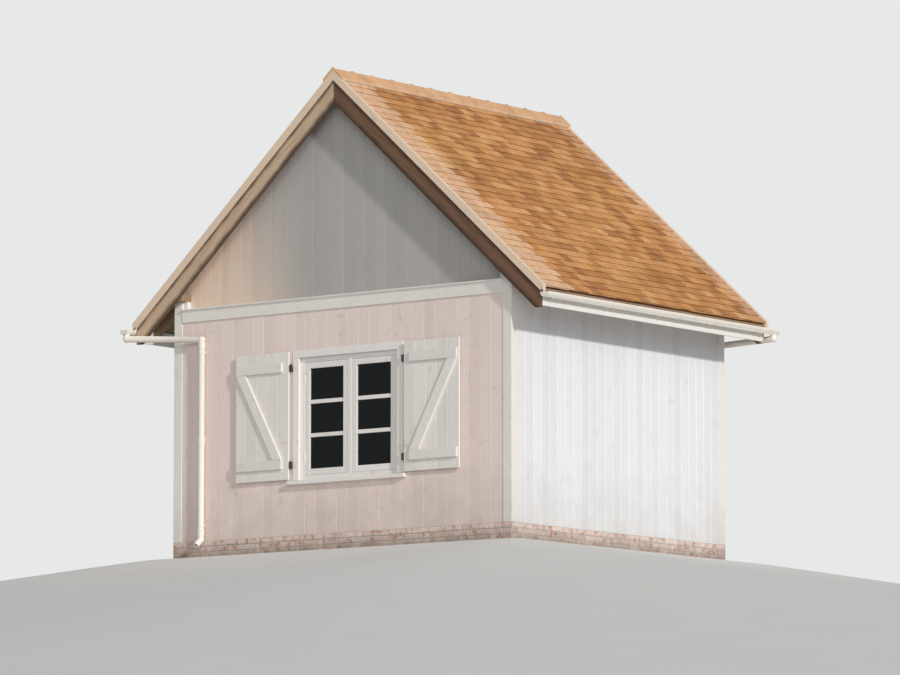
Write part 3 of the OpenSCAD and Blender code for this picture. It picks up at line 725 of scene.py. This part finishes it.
# Roof tiles: plain clay tiles, each hung over the two courses below it so that less than half
# shows. Every second course starts with a tile and a half, and the verge tiles are paler, where
# the lime of their bedding has washed over them.
tile_courses = 32
tile_gauge = slope_l / tile_courses
tile_w, tile_l, tile_thick = 0.1667, 0.25, 0.013
tile_step = 0.016
tile_gap = 0.0016
under_course_drop = 0.0145
ridge_clear = 0.055
verge_reach = 0.47
tile_turn, tile_slip = 0.004, 0.0018


def ramp(graph, value, stops):
    """A colour ramp through (position, colour) stops."""
    node = graph.nodes.new("ShaderNodeValToRGB")
    band = node.color_ramp.elements
    while len(band) < len(stops):
        band.new(0.5)
    for element, (position, colour) in zip(band, stops):
        element.position = position
        element.color = (*colour, 1.0)
    graph.links.new(value, node.inputs["Fac"])
    return node.outputs["Color"]


def moss_group():
    """Patches of moss, small round spots of lichen and long dark marks, from object places."""
    group, given, out = effect_group(
        "moss and lichen",
        [("Place", "vector")],
        [("Moss", "value"), ("Lichen", "value"), ("Soot", "value")],
    )
    place = given.outputs["Place"]
    broad = ranged(group, noise(group, place, 0.8, 3.0, 0.5), 0.42, 0.66)
    small = ranged(group, noise(group, place, 11.0, 6.0, 0.7), 0.48, 0.62)
    group.links.new(maths(group, "MULTIPLY", broad, small), out.inputs["Moss"])
    cells = group.nodes.new("ShaderNodeTexVoronoi")
    cells.inputs["Scale"].default_value = 16.0
    group.links.new(place, cells.inputs["Vector"])
    spot = ranged(group, cells.outputs["Distance"], 0.12, 0.22, 1.0, 0.0)
    chosen = ranged(group, noise(group, place, 1.7, 2.0, 0.5), 0.50, 0.62)
    group.links.new(maths(group, "MULTIPLY", spot, chosen), out.inputs["Lichen"])
    long_marks = stretched(group, place, (1.4, 3.5, 1.4))
    dark = noise(group, long_marks, 1.0, 5.0, 0.6)
    group.links.new(ranged(group, dark, 0.45, 0.75), out.inputs["Soot"])
    return group


moss_and_lichen = moss_group()


def clay_material(name):
    """Fired clay that runs from burnt brown through orange to ochre from tile to tile.

    The verge attribute says how much lime has washed over a tile. Moss, lichen and soot follow.
    """
    material, graph, shader, place = finish_of(name, 0.82)
    tone = attribute(graph, "tone", "Fac")
    colour = ramp(graph, tone, [
        (0.00, (0.42, 0.180, 0.062)), (0.22, (0.53, 0.240, 0.080)), (0.55, (0.65, 0.315, 0.108)),
        (0.80, (0.73, 0.385, 0.140)), (1.00, (0.80, 0.460, 0.200)),
    ])
    fired = noise(graph, attribute(graph, "grain", "Vector"), 13.0, 6.0, 0.65)
    burnt = ranged(graph, fired, 0.4, 0.7, 0.0, 0.42)
    colour = blended(graph, burnt, colour, (0.40, 0.165, 0.058))
    pale = attribute(graph, "verge", "Fac")
    lime = ranged(graph, noise(graph, place, 9.0, 6.0, 0.7), 0.30, 0.55, 0.45, 0.95)
    colour = blended(graph, maths(graph, "MULTIPLY", pale, lime), colour, (0.86, 0.60, 0.40))
    colour = layered(graph, colour, effect(graph, moss_and_lichen, place), [
        ("Moss", 0.45, (0.36, 0.270, 0.060)), ("Lichen", 0.50, (0.74, 0.620, 0.360)),
        ("Soot", 0.30, (0.24, 0.120, 0.060)),
    ])
    return surfaced(material, shader, colour, noise(graph, place, 70.0, 8.0, 0.7), 0.0018)


clay_tiles = clay_material("clay_tiles")


def hung_tiles(side, half_run, rng):
    """Centres, half sizes, axes and verge shares of every tile on one slope.

    A course's tiles sit at its distance up the slope. Each nose top lies in the roof's plane and
    the tile leans in by asin(step / gauge), so that its head passes under two more courses. Each
    tile is turned, rocked and slipped a little. The first course lies under the eaves course.
    """
    lean = math.asin(tile_step / tile_gauge)
    per_course = round(2 * half_run / tile_w)
    width = 2 * half_run / per_course
    whole = -half_run + width * np.arange(per_course + 1)
    staggered = np.concatenate([[-half_run], whole[1:-2] + width / 2, [half_run]])
    rows = []
    for course in range(-1, tile_courses):
        edges = staggered if course % 2 else whole
        up = max(course, 0) * tile_gauge
        sunk = under_course_drop if course < 0 else 0.0
        length = min(tile_l, slope_l - up - ridge_clear)
        middle = (edges[:-1] + edges[1:]) / 2
        half_width = (edges[1:] - edges[:-1] - tile_gap) / 2
        same = np.ones(len(middle))
        rows.append(np.column_stack([same * up, middle, half_width, same * sunk, same * length]))
    up, along, half_width, sunk, length = np.concatenate(rows).T
    count = len(up)
    axes = np.broadcast_to(slope_frame(side, lean), (count, 3, 3)).copy()
    turn, rock = rng.normal(0, tile_turn, (2, count, 1))
    axes[:, 0] += turn * axes[:, 1]
    axes[:, 2] += rock * axes[:, 1]
    axes[:, 1] = np.cross(axes[:, 2], axes[:, 0])
    axes /= np.linalg.norm(axes, axis=2, keepdims=True)
    slip = rng.normal(0, tile_slip, count)
    nose = slope_point(side, up + slip, along, sunk + rng.uniform(0.0, tile_slip, count))
    centre = nose + axes[:, 0] * length[:, None] / 2 - axes[:, 2] * tile_thick / 2
    half = np.column_stack([length / 2, half_width, np.full(count, tile_thick / 2)])
    to_front = along + half_run
    to_rear = half_run - along
    fading = np.clip(2.4 - 3.6 * to_front, 0.0, 1.0) * (to_front < verge_reach)
    pale = rng.uniform(0.75, 1.0, count) * fading + 0.5 * (to_rear < tile_w)
    return centre, half, axes, pale


tile_rng = np.random.default_rng(47)
tile_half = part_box("right_roof_tiles")[1].y
for side_name, side in both_sides:
    centre, half, axes, pale = hung_tiles(side, tile_half, tile_rng)
    tiles = block_piece(side_name + "_tiles_hung", "hut", centre, half, 0.0022, 0, tile_rng, axes)
    marked(tiles.data, "verge", np.repeat(pale, 24))
    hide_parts(side_name + "_roof_tiles")
    finished(tiles, clay_tiles)

# A tilting fillet along the eaves lifts the lowest tiles and closes the gap under them.
fillet_at, fillet_w, fillet_t = np.array([0.085]), 0.056, 0.025
fillet_depth = tile_t - fillet_t / 2 - 0.001
fillet_points = np.concatenate([slope_point(side, fillet_at, 0.0, fillet_depth) for side in (-1, 1)])
fillet_axes = np.stack([slope_frame(-1), slope_frame(1)])
fillet_half = [fillet_w / 2, tile_half, fillet_t / 2]
fillets = block_piece(
    "tilting_fillets", "hut", fillet_points, fillet_half, 0.003, 1, roof_rng, fillet_axes)
finished(fillets, trim_white)


# Ridge: angled clay ridge tiles bedded in mortar on both slopes, with a collar at each joint,
# and a fillet of mortar that shows under their lower edges.
ridge = eased_copy("ridge_tiles", 0.003, 1)
marked(ridge.data, "verge", 0.6)
finished(ridge, clay_tiles)

bedding_rng = np.random.default_rng(5)
ridge_low, ridge_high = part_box("ridge_tiles")
ridge_edge = slope_l - ridge_high.x / math.cos(pitch)
bedding_count, bedding_in, bedding_end = 60, 0.02, 0.02
dabs = np.linspace(ridge_low.y + bedding_end, ridge_high.y - bedding_end, bedding_count + 1)
middle = (dabs[:-1] + dabs[1:]) / 2
bedding_half = [0.022, (dabs[1] - dabs[0]) / 2 - 0.0002, 0.009]
bedding_centres, bedding_axes = [], []
for side in (-1, 1):
    at = ridge_edge + bedding_in + bedding_rng.uniform(-0.002, 0.006, bedding_count)
    bedding_centres.append(slope_point(side, at, middle, 0.004))
    bedding_axes.append(np.broadcast_to(slope_frame(side), (bedding_count, 3, 3)))
bedding = block_piece(
    "ridge_bedding", "hut", np.concatenate(bedding_centres), bedding_half, 0.004, 1, bedding_rng,
    np.concatenate(bedding_axes))
finished(bedding, lime_mortar)


# Verges: a pale painted trim closes the tile ends, and a stained softwood bargeboard hangs under
# it, set back from its face. Both run from the ridge to the eaves on each side of each gable.
verge_cream = painted_timber("verge_cream", (0.87, 0.69, 0.52), (0.40, 0.30, 0.21), 0.5, 0.4, 0.3)


def bargeboard_material():
    """Brown stain on softwood in two painted lights: tan where the tone attribute says it is lit and dark
    brown where it says it is in shade.

    Painted shade darkens a strip under the trim and one along the drip edge. Both strips are found
    from the depth below the tile tops, which is apex_z * cos(pitch) less the grain's second part.
    """
    material, graph, shader, place = finish_of("stained_softwood_painted_light", 0.6)
    grain = grain_of(graph, 60.0)
    # The dark brown is the shaded copy of the stain and the tan the lit copy: painted shade and light.
    dark = blended(graph, grain["Fibres"], (0.085, 0.038, 0.019), (0.19, 0.096, 0.050))
    tan = blended(graph, grain["Fibres"], (0.50, 0.345, 0.225), (0.76, 0.580, 0.410))
    colour = blended(graph, attribute(graph, "tone", "Fac"), dark, tan)
    split = graph.nodes.new("ShaderNodeSeparateXYZ")
    graph.links.new(attribute(graph, "grain", "Vector"), split.inputs["Vector"])
    depth = maths(graph, "SUBTRACT", apex_z * math.cos(pitch), split.outputs["Y"])
    wander = ranged(graph, noise(graph, place, 5.0, 5.0, 0.6), 0.3, 0.7, -0.012, 0.012)
    depth = maths(graph, "ADD", depth, wander)
    # Painted shade: a dark strip under the trim, where its shadow falls, and one along the drip edge.
    shade_under_trim = ranged(graph, depth, 0.083, 0.122, 1.0, 0.0)
    shade_along_drip_edge = ranged(graph, depth, 0.198, 0.246, 0.0, 1.0)
    painted_shade_strips = maths(graph, "MULTIPLY", maths(graph, "MAXIMUM", shade_under_trim, shade_along_drip_edge), 0.88)
    colour = blended(graph, painted_shade_strips, colour, (0.050, 0.024, 0.013))
    return surfaced(material, shader, colour, grain["Fibres"], 0.0012)


stained_softwood_painted_light = bargeboard_material()
finished(eased_copy("verge_trims", 0.004, "slope"), verge_cream)
# Painted shade: the half of each pair on which the trim's shadow falls gets the dark tone, the other half
# the lit tan tone.
for node, dark_side in (("front_bargeboards", 1), ("rear_bargeboards", -1)):
    boards = eased_copy(node, 0.004, "slope")
    in_shade = corner_places(boards.data)[:, 0] * dark_side > 0
    marked(boards.data, "tone", np.where(in_shade, 0.05, 0.9))
    finished(boards, stained_softwood_painted_light)
for node in ("left_fascia", "right_fascia"):
    finished(eased_copy(node, 0.003, 1), trim_white)


# Gutters and pipes: half-round gutters in strap brackets, and round downpipes that reach the
# gable walls by a swan-neck and are clipped there. All are steel, painted cream white.

def painted_steel(name, paint):
    """Old gloss paint on steel, dulled by dust, with a little rust where fine noise peaks."""
    material, graph, shader, place = finish_of(name, 0.5)
    marks = effect(graph, rain_and_splash, place, 0.5)
    colour = layered(graph, paint, marks, [("Streaks", 0.22, (0.45, 0.40, 0.32))])
    rust = ranged(graph, noise(graph, place, 26.0, 8.0, 0.75), 0.64, 0.72, 0.0, 0.25)
    colour = blended(graph, rust, colour, (0.26, 0.10, 0.04))
    graph.links.new(ranged(graph, marks["Clouds"], 0.0, 1.0, 0.42, 0.6), shader.inputs["Roughness"])
    return surfaced(material, shader, colour, noise(graph, place, 18.0, 3.0, 0.5), 0.0006)


gutter_cream = painted_steel("gutter_cream", (0.86, 0.82, 0.74))
rain_goods = ("left_gutter", "right_gutter", "front_downpipe", "rear_downpipe")
for node in (*rain_goods, "gutter_brackets", "pipe_clips"):
    finished(eased_copy(node, 0.0, 1, smooth=True), gutter_cream)


def turned_rings(name, body, bases, profile, steps, axes=None):
    """One turned shape set at many places: each profile point (radius, height) is swept in a circle.

    A point is base + radius * (cos a, sin a) + height along the third axis. The profile starts
    and ends on its own axis or closes on itself, so that the piece is closed.
    """
    bases = np.atleast_2d(bases)
    profile = np.asarray(profile, float)
    angle = np.arange(steps) * 2 * math.pi / steps
    ring = np.stack([
        profile[:, None, 0] * np.cos(angle), profile[:, None, 0] * np.sin(angle),
        np.broadcast_to(profile[:, None, 1], (len(profile), steps)),
    ], axis=2).reshape(-1, 3)
    axes = np.broadcast_to(np.eye(3) if axes is None else axes, (len(bases), 3, 3))
    points = np.einsum("vi,nij->nvj", ring, axes) + bases[:, None, :]
    corner = np.arange(len(ring)).reshape(len(profile), steps)
    above = np.roll(corner, -1, 0)
    quads = np.stack([corner, np.roll(corner, -1, 1), np.roll(above, -1, 1), above], 2).reshape(-1, 4)
    faces = (quads[None] + (np.arange(len(bases)) * len(ring))[:, None, None]).reshape(-1, 4)
    return mesh_piece(name, body, points.reshape(-1, 3), [faces], smooth=True)


# Pipe sockets: a wider collar at each joint of a pipe, under the upper bend, half way down and
# over the shoe. The front pipe stands on the left and the rear pipe on the right.
pipe_r, pipe_off, clip_t = 0.034, 0.028, 0.0043
pipe_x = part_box("pipe_clips")[1].x - pipe_r - clip_t
pipe_y = half_l + pipe_off + pipe_r
socket_levels = (2.245, 1.20, 0.235)
pipe_centres = [[s * pipe_x, s * pipe_y, level] for s in (-1, 1) for level in socket_levels]
socket_profile = [
    (pipe_r - 0.001, 0.0), (pipe_r + 0.0045, 0.0), (pipe_r + 0.0045, 0.052), (pipe_r + 0.007, 0.055),
    (pipe_r + 0.007, 0.062), (pipe_r + 0.003, 0.066), (pipe_r - 0.001, 0.066),
]
steel_crease = math.radians(35)
sockets = turned_rings("pipe_sockets", "hut", pipe_centres, socket_profile, 40)
sockets.data.set_sharp_from_angle(angle=steel_crease)
finished(sockets, gutter_cream)

# Gutter unions: each gutter is two lengths joined at a wider strap near the middle.
gutter_low, gutter_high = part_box("right_gutter")
gutter_r = (gutter_high.x - gutter_low.x) / 2
gutter_x = (gutter_high.x + gutter_low.x) / 2
union_at, union_w, union_t, strap_gap = 0.32, 0.07, 0.004, 0.0004


def gutter_strap(side, at, width, proud):
    """A strap round the outside of a gutter: a half circle of a given wall carried along Y.

    The ring of points runs down round the outside and back along the inside, at both ends.
    """
    steps = 25
    down = np.linspace(math.pi, 2 * math.pi, steps)
    angle = np.concatenate([down, down[::-1]])
    radius = gutter_r + np.repeat([proud, strap_gap], steps)
    count = len(angle)
    across = np.tile(side * gutter_x + radius * np.cos(angle), 2)
    height = np.tile(gutter_high.z + radius * np.sin(angle), 2)
    along = np.repeat([at - width / 2, at + width / 2], count)
    points = np.column_stack([across, along, height])
    here = np.arange(count)
    beyond = (here + 1) % count
    sides = np.column_stack([here, here + count, beyond + count, beyond])
    strip = np.arange(steps - 1)
    end = np.column_stack([strip, strip + 1, count - 2 - strip, count - 1 - strip])
    return points, [np.concatenate([sides, end, end[:, ::-1] + count])]


for side_name, side in both_sides:
    points, faces = gutter_strap(side, side * union_at, union_w, union_t)
    strap = mesh_piece(side_name + "_gutter_union", "hut", points, faces, smooth=True)
    strap.data.set_sharp_from_angle(angle=steel_crease)
    finished(strap, gutter_cream)


# Window: a fixed softwood frame with a middle post, two casements of three panes, casing boards
# nailed over its joint with the wall and a weathered sill with horns, all painted white.
window_white = painted_timber("window_white", (0.90, 0.88, 0.85), (0.42, 0.36, 0.29), 0.45, 0.25, 0.6, 80.0)
joinery_rng = np.random.default_rng(61)
casing_w, half_joint = 0.08, 0.0005
casing_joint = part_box("window_frame")[1].z


def members(name, body, corners, ease, along, rng):
    """Straight members given as (low corner, high corner) pairs, all with the same grain axis."""
    corners = np.asarray(corners, float)
    centre = corners.mean(1)
    return block_piece(name, body, centre, (corners[:, 1] - corners[:, 0]) / 2, ease, along, rng)


def casing(jambs_name, head_name, low, high, width, jamb_top, head_foot):
    """Two upright casing boards with a third across their heads, between two far corners."""
    jambs = members(jambs_name, "hut", [
        [[x, low[1], low[2]], [x + width, high[1], jamb_top]] for x in (low[0], high[0] - width)
    ], 0.003, 2, joinery_rng)
    finished(jambs, window_white)
    head = members(head_name, "hut", [[[low[0], low[1], head_foot], high]], 0.003, 0, joinery_rng)
    finished(head, window_white)
    return jambs


window_jambs = casing(
    "casing_jambs", "casing_head", casing_low, casing_high, casing_w, casing_joint - half_joint,
    casing_joint + half_joint)
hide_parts("window_casing")
finished(eased_copy("window_frame", 0.003, 2), window_white)
finished(eased_copy("window_sill", 0.004, 0), window_white)

# Casements: through stiles with rails between them, and two glazing bars in each, against the
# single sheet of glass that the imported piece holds. Each hangs on two butt hinges.
stile_w, rail_back = 0.065, 0.0005
bar_w, bar_back, bar_in = 0.042, 0.006, 0.002
hinge_up, hinge_down, hinge_out = 0.14, 0.22, 0.003
hinge_places = []
for side_name, side in both_sides:
    low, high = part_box(side_name + "_casement")
    stiles = members(side_name + "_casement_stiles", "hut", [
        [[low.x, low.y, low.z], [low.x + stile_w, high.y, high.z]],
        [[high.x - stile_w, low.y, low.z], [high.x, high.y, high.z]],
    ], 0.003, 2, joinery_rng)
    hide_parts(side_name + "_casement")
    finished(stiles, window_white)
    light_h = high.z - low.z - 2 * stile_w
    bar_levels = low.z + stile_w + light_h * np.array([1, 2]) / 3
    from_x, to_x = low.x + stile_w, high.x - stile_w
    rails = [
        [[from_x, low.y + rail_back, foot], [to_x, high.y, foot + stile_w]]
        for foot in (low.z, high.z - stile_w)
    ]
    rails += [
        [[from_x - bar_in, low.y + bar_back, level - bar_w / 2],
         [to_x + bar_in, high.y - bar_back, level + bar_w / 2]]
        for level in bar_levels
    ]
    cross_pieces = members(side_name + "_casement_rails", "hut", rails, 0.004, 0, joinery_rng)
    finished(cross_pieces, window_white)
    hinge_x = low.x if side < 0 else high.x
    hinge_levels = (low.z + hinge_up, high.z - hinge_down)
    hinge_places += [[hinge_x, low.y - hinge_out, level] for level in hinge_levels]

knuckle_r, knuckle_h = 0.0065, 0.085
knuckle_profile = [(0.0002, 0.0), (knuckle_r * 0.6, 0.0), (knuckle_r, 0.003)]
knuckle_profile += [(knuckle_r, knuckle_h - 0.003), (knuckle_r * 0.6, knuckle_h), (0.0002, knuckle_h)]
knuckles = turned_rings("casement_hinges", "hut", hinge_places, knuckle_profile, 20)
knuckles.data.set_sharp_from_angle(angle=steel_crease)
finished(knuckles, window_white)


def glass_material():
    """Old window glass, slightly dusty, with a faint roll in its surface; its near-black greenish tint is
    painted shade for the dark room behind the panes.
    """
    material, graph, shader, place = finish_of(
        "window_glass", 0.04, Transmission_Weight=1.0, IOR=1.5, Specular_IOR_Level=0.2)
    dust = ranged(graph, noise(graph, place, 6.0, 5.0, 0.6), 0.4, 0.8)
    # Painted shade: the glass is tinted near black to stand for the dark inside the hut.
    colour = blended(graph, dust, (0.035, 0.045, 0.045), (0.075, 0.085, 0.08))
    graph.links.new(ranged(graph, dust, 0.0, 1.0, 0.02, 0.12), shader.inputs["Roughness"])
    return surfaced(material, shader, colour, noise(graph, place, 2.2, 2.0, 0.4), 0.004, 0.3)


dress("window_glass", glass_material())


# Shutters: five upright boards nailed to two ledges and a slanting brace, painted white. Each
# hangs on two iron strap bands, whose eyes turn on pintles screwed to the wall by the casing.
leaf_board_count = 5
ledge_w, ledge_t, brace_w, brace_back = 0.105, 0.025, 0.125, 0.0006
ledge_end, ledge_in, ledge_stop = 0.165, 0.082, 0.020
brace_gap, nail_edge = 0.0004, 0.02
shutter_white = painted_timber(
    "shutter_white", (0.88, 0.85, 0.81), (0.36, 0.30, 0.24), 0.5, 0.35, 0.6, 90.0)


def forged_iron(name):
    """Black painted iron: dull, slightly pitted, with rust at the peaks of fine noise."""
    material, graph, shader, place = finish_of(name, 0.5, Metallic=0.35)
    pits = noise(graph, place, 60.0, 8.0, 0.7)
    rust = ranged(graph, noise(graph, place, 22.0, 6.0, 0.7), 0.52, 0.68, 0.0, 0.7)
    colour = blended(graph, rust, (0.035, 0.034, 0.035), (0.17, 0.065, 0.028))
    graph.links.new(ranged(graph, pits, 0.3, 0.7, 0.42, 0.7), shader.inputs["Roughness"])
    return surfaced(material, shader, colour, pits, 0.0012)


iron = forged_iron("forged_iron")
nail_r, nail_h = 0.0065, 0.0032
nail_profile = [(0.0002, -0.001), (nail_r, -0.001), (nail_r, nail_h * 0.3)]
nail_profile += [(nail_r * 0.75, nail_h * 0.75), (nail_r * 0.35, nail_h), (0.0002, nail_h)]
nail_dx, nail_dz, brace_nails = 0.03, 0.025, (-0.36, -0.12, 0.12, 0.36)
band_t, band_bolt_places = 0.005, np.array([0.05, 0.13, 0.24, 0.35, 0.41])
bolt_profile = [
    (0.0002, -0.001), (0.010, -0.001), (0.010, 0.0015), (0.0072, 0.0042), (0.0035, 0.0055),
    (0.0002, 0.0058),
]


def leaf_boards(name, body, low, high, face_y, count):
    """Upright boards that fill a leaf from side to side, and their edges."""
    edges = np.linspace(low.x, high.x, count + 1)
    boards = members(name, body, [
        [[a + joint_half, face_y, low.z], [b - joint_half, high.y, high.z]]
        for a, b in zip(edges[:-1], edges[1:])
    ], 0.004, 2, joinery_rng)
    finished(boards, shutter_white)
    return boards, edges


facing_front = np.array([[1.0, 0.0, 0.0], [0.0, 0.0, 1.0], [0.0, -1.0, 0.0]])
facing_rear = np.array([[1.0, 0.0, 0.0], [0.0, 0.0, -1.0], [0.0, 1.0, 0.0]])

for side_name, side in both_sides:
    low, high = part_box(side_name + "_shutter")
    body = side_name + "_leaf"
    hinge_edge = high.x if side < 0 else low.x
    width = high.x - low.x
    face_y = low.y + ledge_t
    boards, edges = leaf_boards(body + "_boards", body, low, high, face_y, leaf_board_count)
    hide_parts(side_name + "_shutter")
    near, far = hinge_edge + side * ledge_in, hinge_edge + side * (width - ledge_stop)
    levels = np.array([low.z + ledge_end, high.z - ledge_end])
    left, right = min(near, far), max(near, far)
    ledges = members(body + "_ledges", body, [
        [[left, low.y, level - ledge_w / 2], [right, face_y + half_joint, level + ledge_w / 2]]
        for level in levels
    ], 0.005, 0, joinery_rng)
    finished(ledges, shutter_white)
    rise = levels[1] - levels[0] - ledge_w
    lean = side * (right - left - brace_w) / rise

    def slanted(points, local, lean=lean):
        """Each point moved along the shutter by its height over the brace's middle times the lean."""
        points[:, :, 0] += local[:, :, 2] * lean
        return points

    middle_x, middle_z = (left + right) / 2, levels.mean()
    brace = block_piece(
        body + "_brace", body, [[middle_x, low.y + ledge_t / 2 + brace_back, middle_z]],
        [brace_w / 2, ledge_t / 2 - brace_gap, rise / 2 - brace_gap], 0.005, 2, joinery_rng,
        shift=slanted)
    finished(brace, shutter_white)
    middles = (edges[:-1] + edges[1:]) / 2
    on_ledges = middles[(middles > left + nail_edge) & (middles < right - nail_edge)]
    nails = [
        [x + turn * nail_dx, low.y, level - turn * nail_dz]
        for x in on_ledges for level in levels for turn in (-1, 1)
    ]
    nails += [[middle_x + lean * dz, low.y + brace_back, middle_z + dz] for dz in brace_nails]
    nail_heads = turned_rings(body + "_nails", body, nails, nail_profile, 12, facing_front)
    finished(nail_heads, shutter_white)
    finished(eased_copy(side_name + "_shutter_bands", 0.0008, 0, smooth=True), iron)
    bolt_x = hinge_edge + side * band_bolt_places
    bolts = [[x, high.y + band_t, level] for x in bolt_x for level in levels]
    heads = turned_rings(body + "_band_bolts", body, bolts, bolt_profile, 16, facing_rear)
    finished(heads, iron)

finished(eased_copy("shutter_pintles", 0.0008, 2, smooth=True), iron)


# Rear door: six upright boards in a rebated frame, with casing boards round it, all painted
# white. It hangs on two iron straps and has a latch plate with a knob.
low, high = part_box("rear_door")
door_board_count = 6
door_boards = leaf_boards("rear_door_boards", "hut", low, high, low.y, door_board_count)[0]
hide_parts("rear_door")
finished(eased_copy("door_frame", 0.003, 2), window_white)
lap, cover_w, cover_t = 0.012, 0.075, 0.02
cover_joint = door_high.z - lap
cover_low = (door_low.x + lap - cover_w, half_l, foot_z)
cover_high = (door_high.x - lap + cover_w, half_l + cover_t, cover_joint + cover_w)
casing(
    "door_casing", "door_casing_head", cover_low, cover_high, cover_w, cover_joint,
    cover_joint + half_joint)
finished(eased_copy("door_ironmongery", 0.0008, 0, smooth=True), iron)
iron_low, iron_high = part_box("door_ironmongery")
strap_w, strap_bolt_places = 0.036, np.array([0.04, 0.12, 0.22, 0.32, 0.40])
strap_levels = (iron_low.z + strap_w / 2, iron_high.z - strap_w / 2)
strap_bolts = [
    [x, high.y + band_t, level] for x in iron_high.x - strap_bolt_places for level in strap_levels
]
door_bolts = turned_rings("door_bolts", "hut", strap_bolts, bolt_profile, 16, facing_rear)
finished(door_bolts, iron)


# Stage: a pale floor that is level round the hut and falls away beyond it, since the camera
# stands below the hut, under a soft sun from the right, a warm fill and an even pale sky.

def falling_floor():
    """Height 0 near the plinth, then a fall of -fall * d * d / (d + easing) at a distance d beyond."""
    edge_x, edge_y, fall, easing, reach = 2.36, 2.02, 0.17, 0.15, 90.0
    spread = np.concatenate([np.linspace(0, 4, 33), np.geomspace(4.2, reach, 24)])
    spread = np.concatenate([-spread[:0:-1], spread])
    x, y = np.meshgrid(spread, spread, indexing="ij")
    beyond = np.hypot(np.maximum(np.abs(x) - edge_x, 0), np.maximum(np.abs(y) - edge_y, 0))
    z = -fall * beyond ** 2 / (beyond + easing)
    count = len(spread)
    corner = np.arange(count * count).reshape(count, count)
    quads = np.stack([corner[:-1, :-1], corner[1:, :-1], corner[1:, 1:], corner[:-1, 1:]], axis=2)
    mesh = bpy.data.meshes.new("floor")
    mesh.from_pydata(np.stack([x, y, z], 2).reshape(-1, 3).tolist(), [], quads.reshape(-1, 4).tolist())
    mesh.polygons.foreach_set("use_smooth", np.ones(len(mesh.polygons), bool))
    material, graph, shader, place = finish_of("pale_floor", 0.9)
    speckle = noise(graph, place, 1.3, 3.0, 0.5)
    colour = blended(graph, speckle, (0.74, 0.735, 0.72), (0.78, 0.775, 0.76))
    graph.links.new(colour, shader.inputs["Base Color"])
    mesh.materials.append(material)
    return placed("floor", mesh)


falling_floor()


def soft_sun(name, strength, colour, spread, azimuth, elevation):
    """A sun lamp with a wide disc, from an azimuth measured from -Y towards +X and an elevation."""
    lamp = bpy.data.lights.new(name, "SUN")
    lamp.energy = strength
    lamp.color = colour
    lamp.angle = math.radians(spread)
    holder = placed(name, lamp)
    a, e = math.radians(azimuth), math.radians(elevation)
    towards = Vector((math.sin(a) * math.cos(e), -math.cos(a) * math.cos(e), math.sin(e)))
    holder.rotation_mode = "QUATERNION"
    holder.rotation_quaternion = towards.to_track_quat("Z", "Y")


soft_sun("key_sun", 2.0, (1.0, 0.97, 0.94), 3.0, 71.0, 23.0)
soft_sun("front_fill", 0.69, (1.0, 0.93, 0.88), 30.0, 34.0, 14.0)

world = bpy.data.worlds.new("studio")
bpy.context.scene.world = world
world.use_nodes = True
sky = world.node_tree
sky.nodes.clear()

# The first background lights the scene, and the second is what the camera sees.
backgrounds = []
for colour, strength in (((0.93, 0.96, 1.0, 1.0), 0.29), ((0.80, 0.81, 0.81, 1.0), 1.0)):
    background = sky.nodes.new("ShaderNodeBackground")
    background.inputs["Color"].default_value = colour
    background.inputs["Strength"].default_value = strength
    backgrounds.append(background.outputs["Background"])
path = sky.nodes.new("ShaderNodeLightPath")
seen = maths(sky, "MAXIMUM", path.outputs["Is Camera Ray"], path.outputs["Is Transmission Ray"])
choice = sky.nodes.new("ShaderNodeMixShader")
sky.links.new(seen, choice.inputs["Fac"])
sky.links.new(backgrounds[0], choice.inputs[1])
sky.links.new(backgrounds[1], choice.inputs[2])
sky.links.new(choice.outputs["Shader"], sky.nodes.new("ShaderNodeOutputWorld").inputs["Surface"])

# Camera: it looks up at the near corner from well below the hut, with the photograph's angle
# and distance, and a long lens that frames the hut alone.
camera_place = Vector((35.14, -45.76, -4.45))
camera_aim = Vector((0.0, 0.0, 2.42))
camera = bpy.data.cameras.new("camera")
camera.lens = 215.0
camera.sensor_width = 36.0
camera.clip_end = 400.0
camera_holder = placed("camera", camera)
camera_holder.location = camera_place
camera_holder.rotation_mode = "QUATERNION"
camera_holder.rotation_quaternion = (camera_aim - camera_place).to_track_quat("-Z", "Y")
bpy.context.scene.camera = camera_holder
bpy.context.scene.view_settings.view_transform = "Standard"
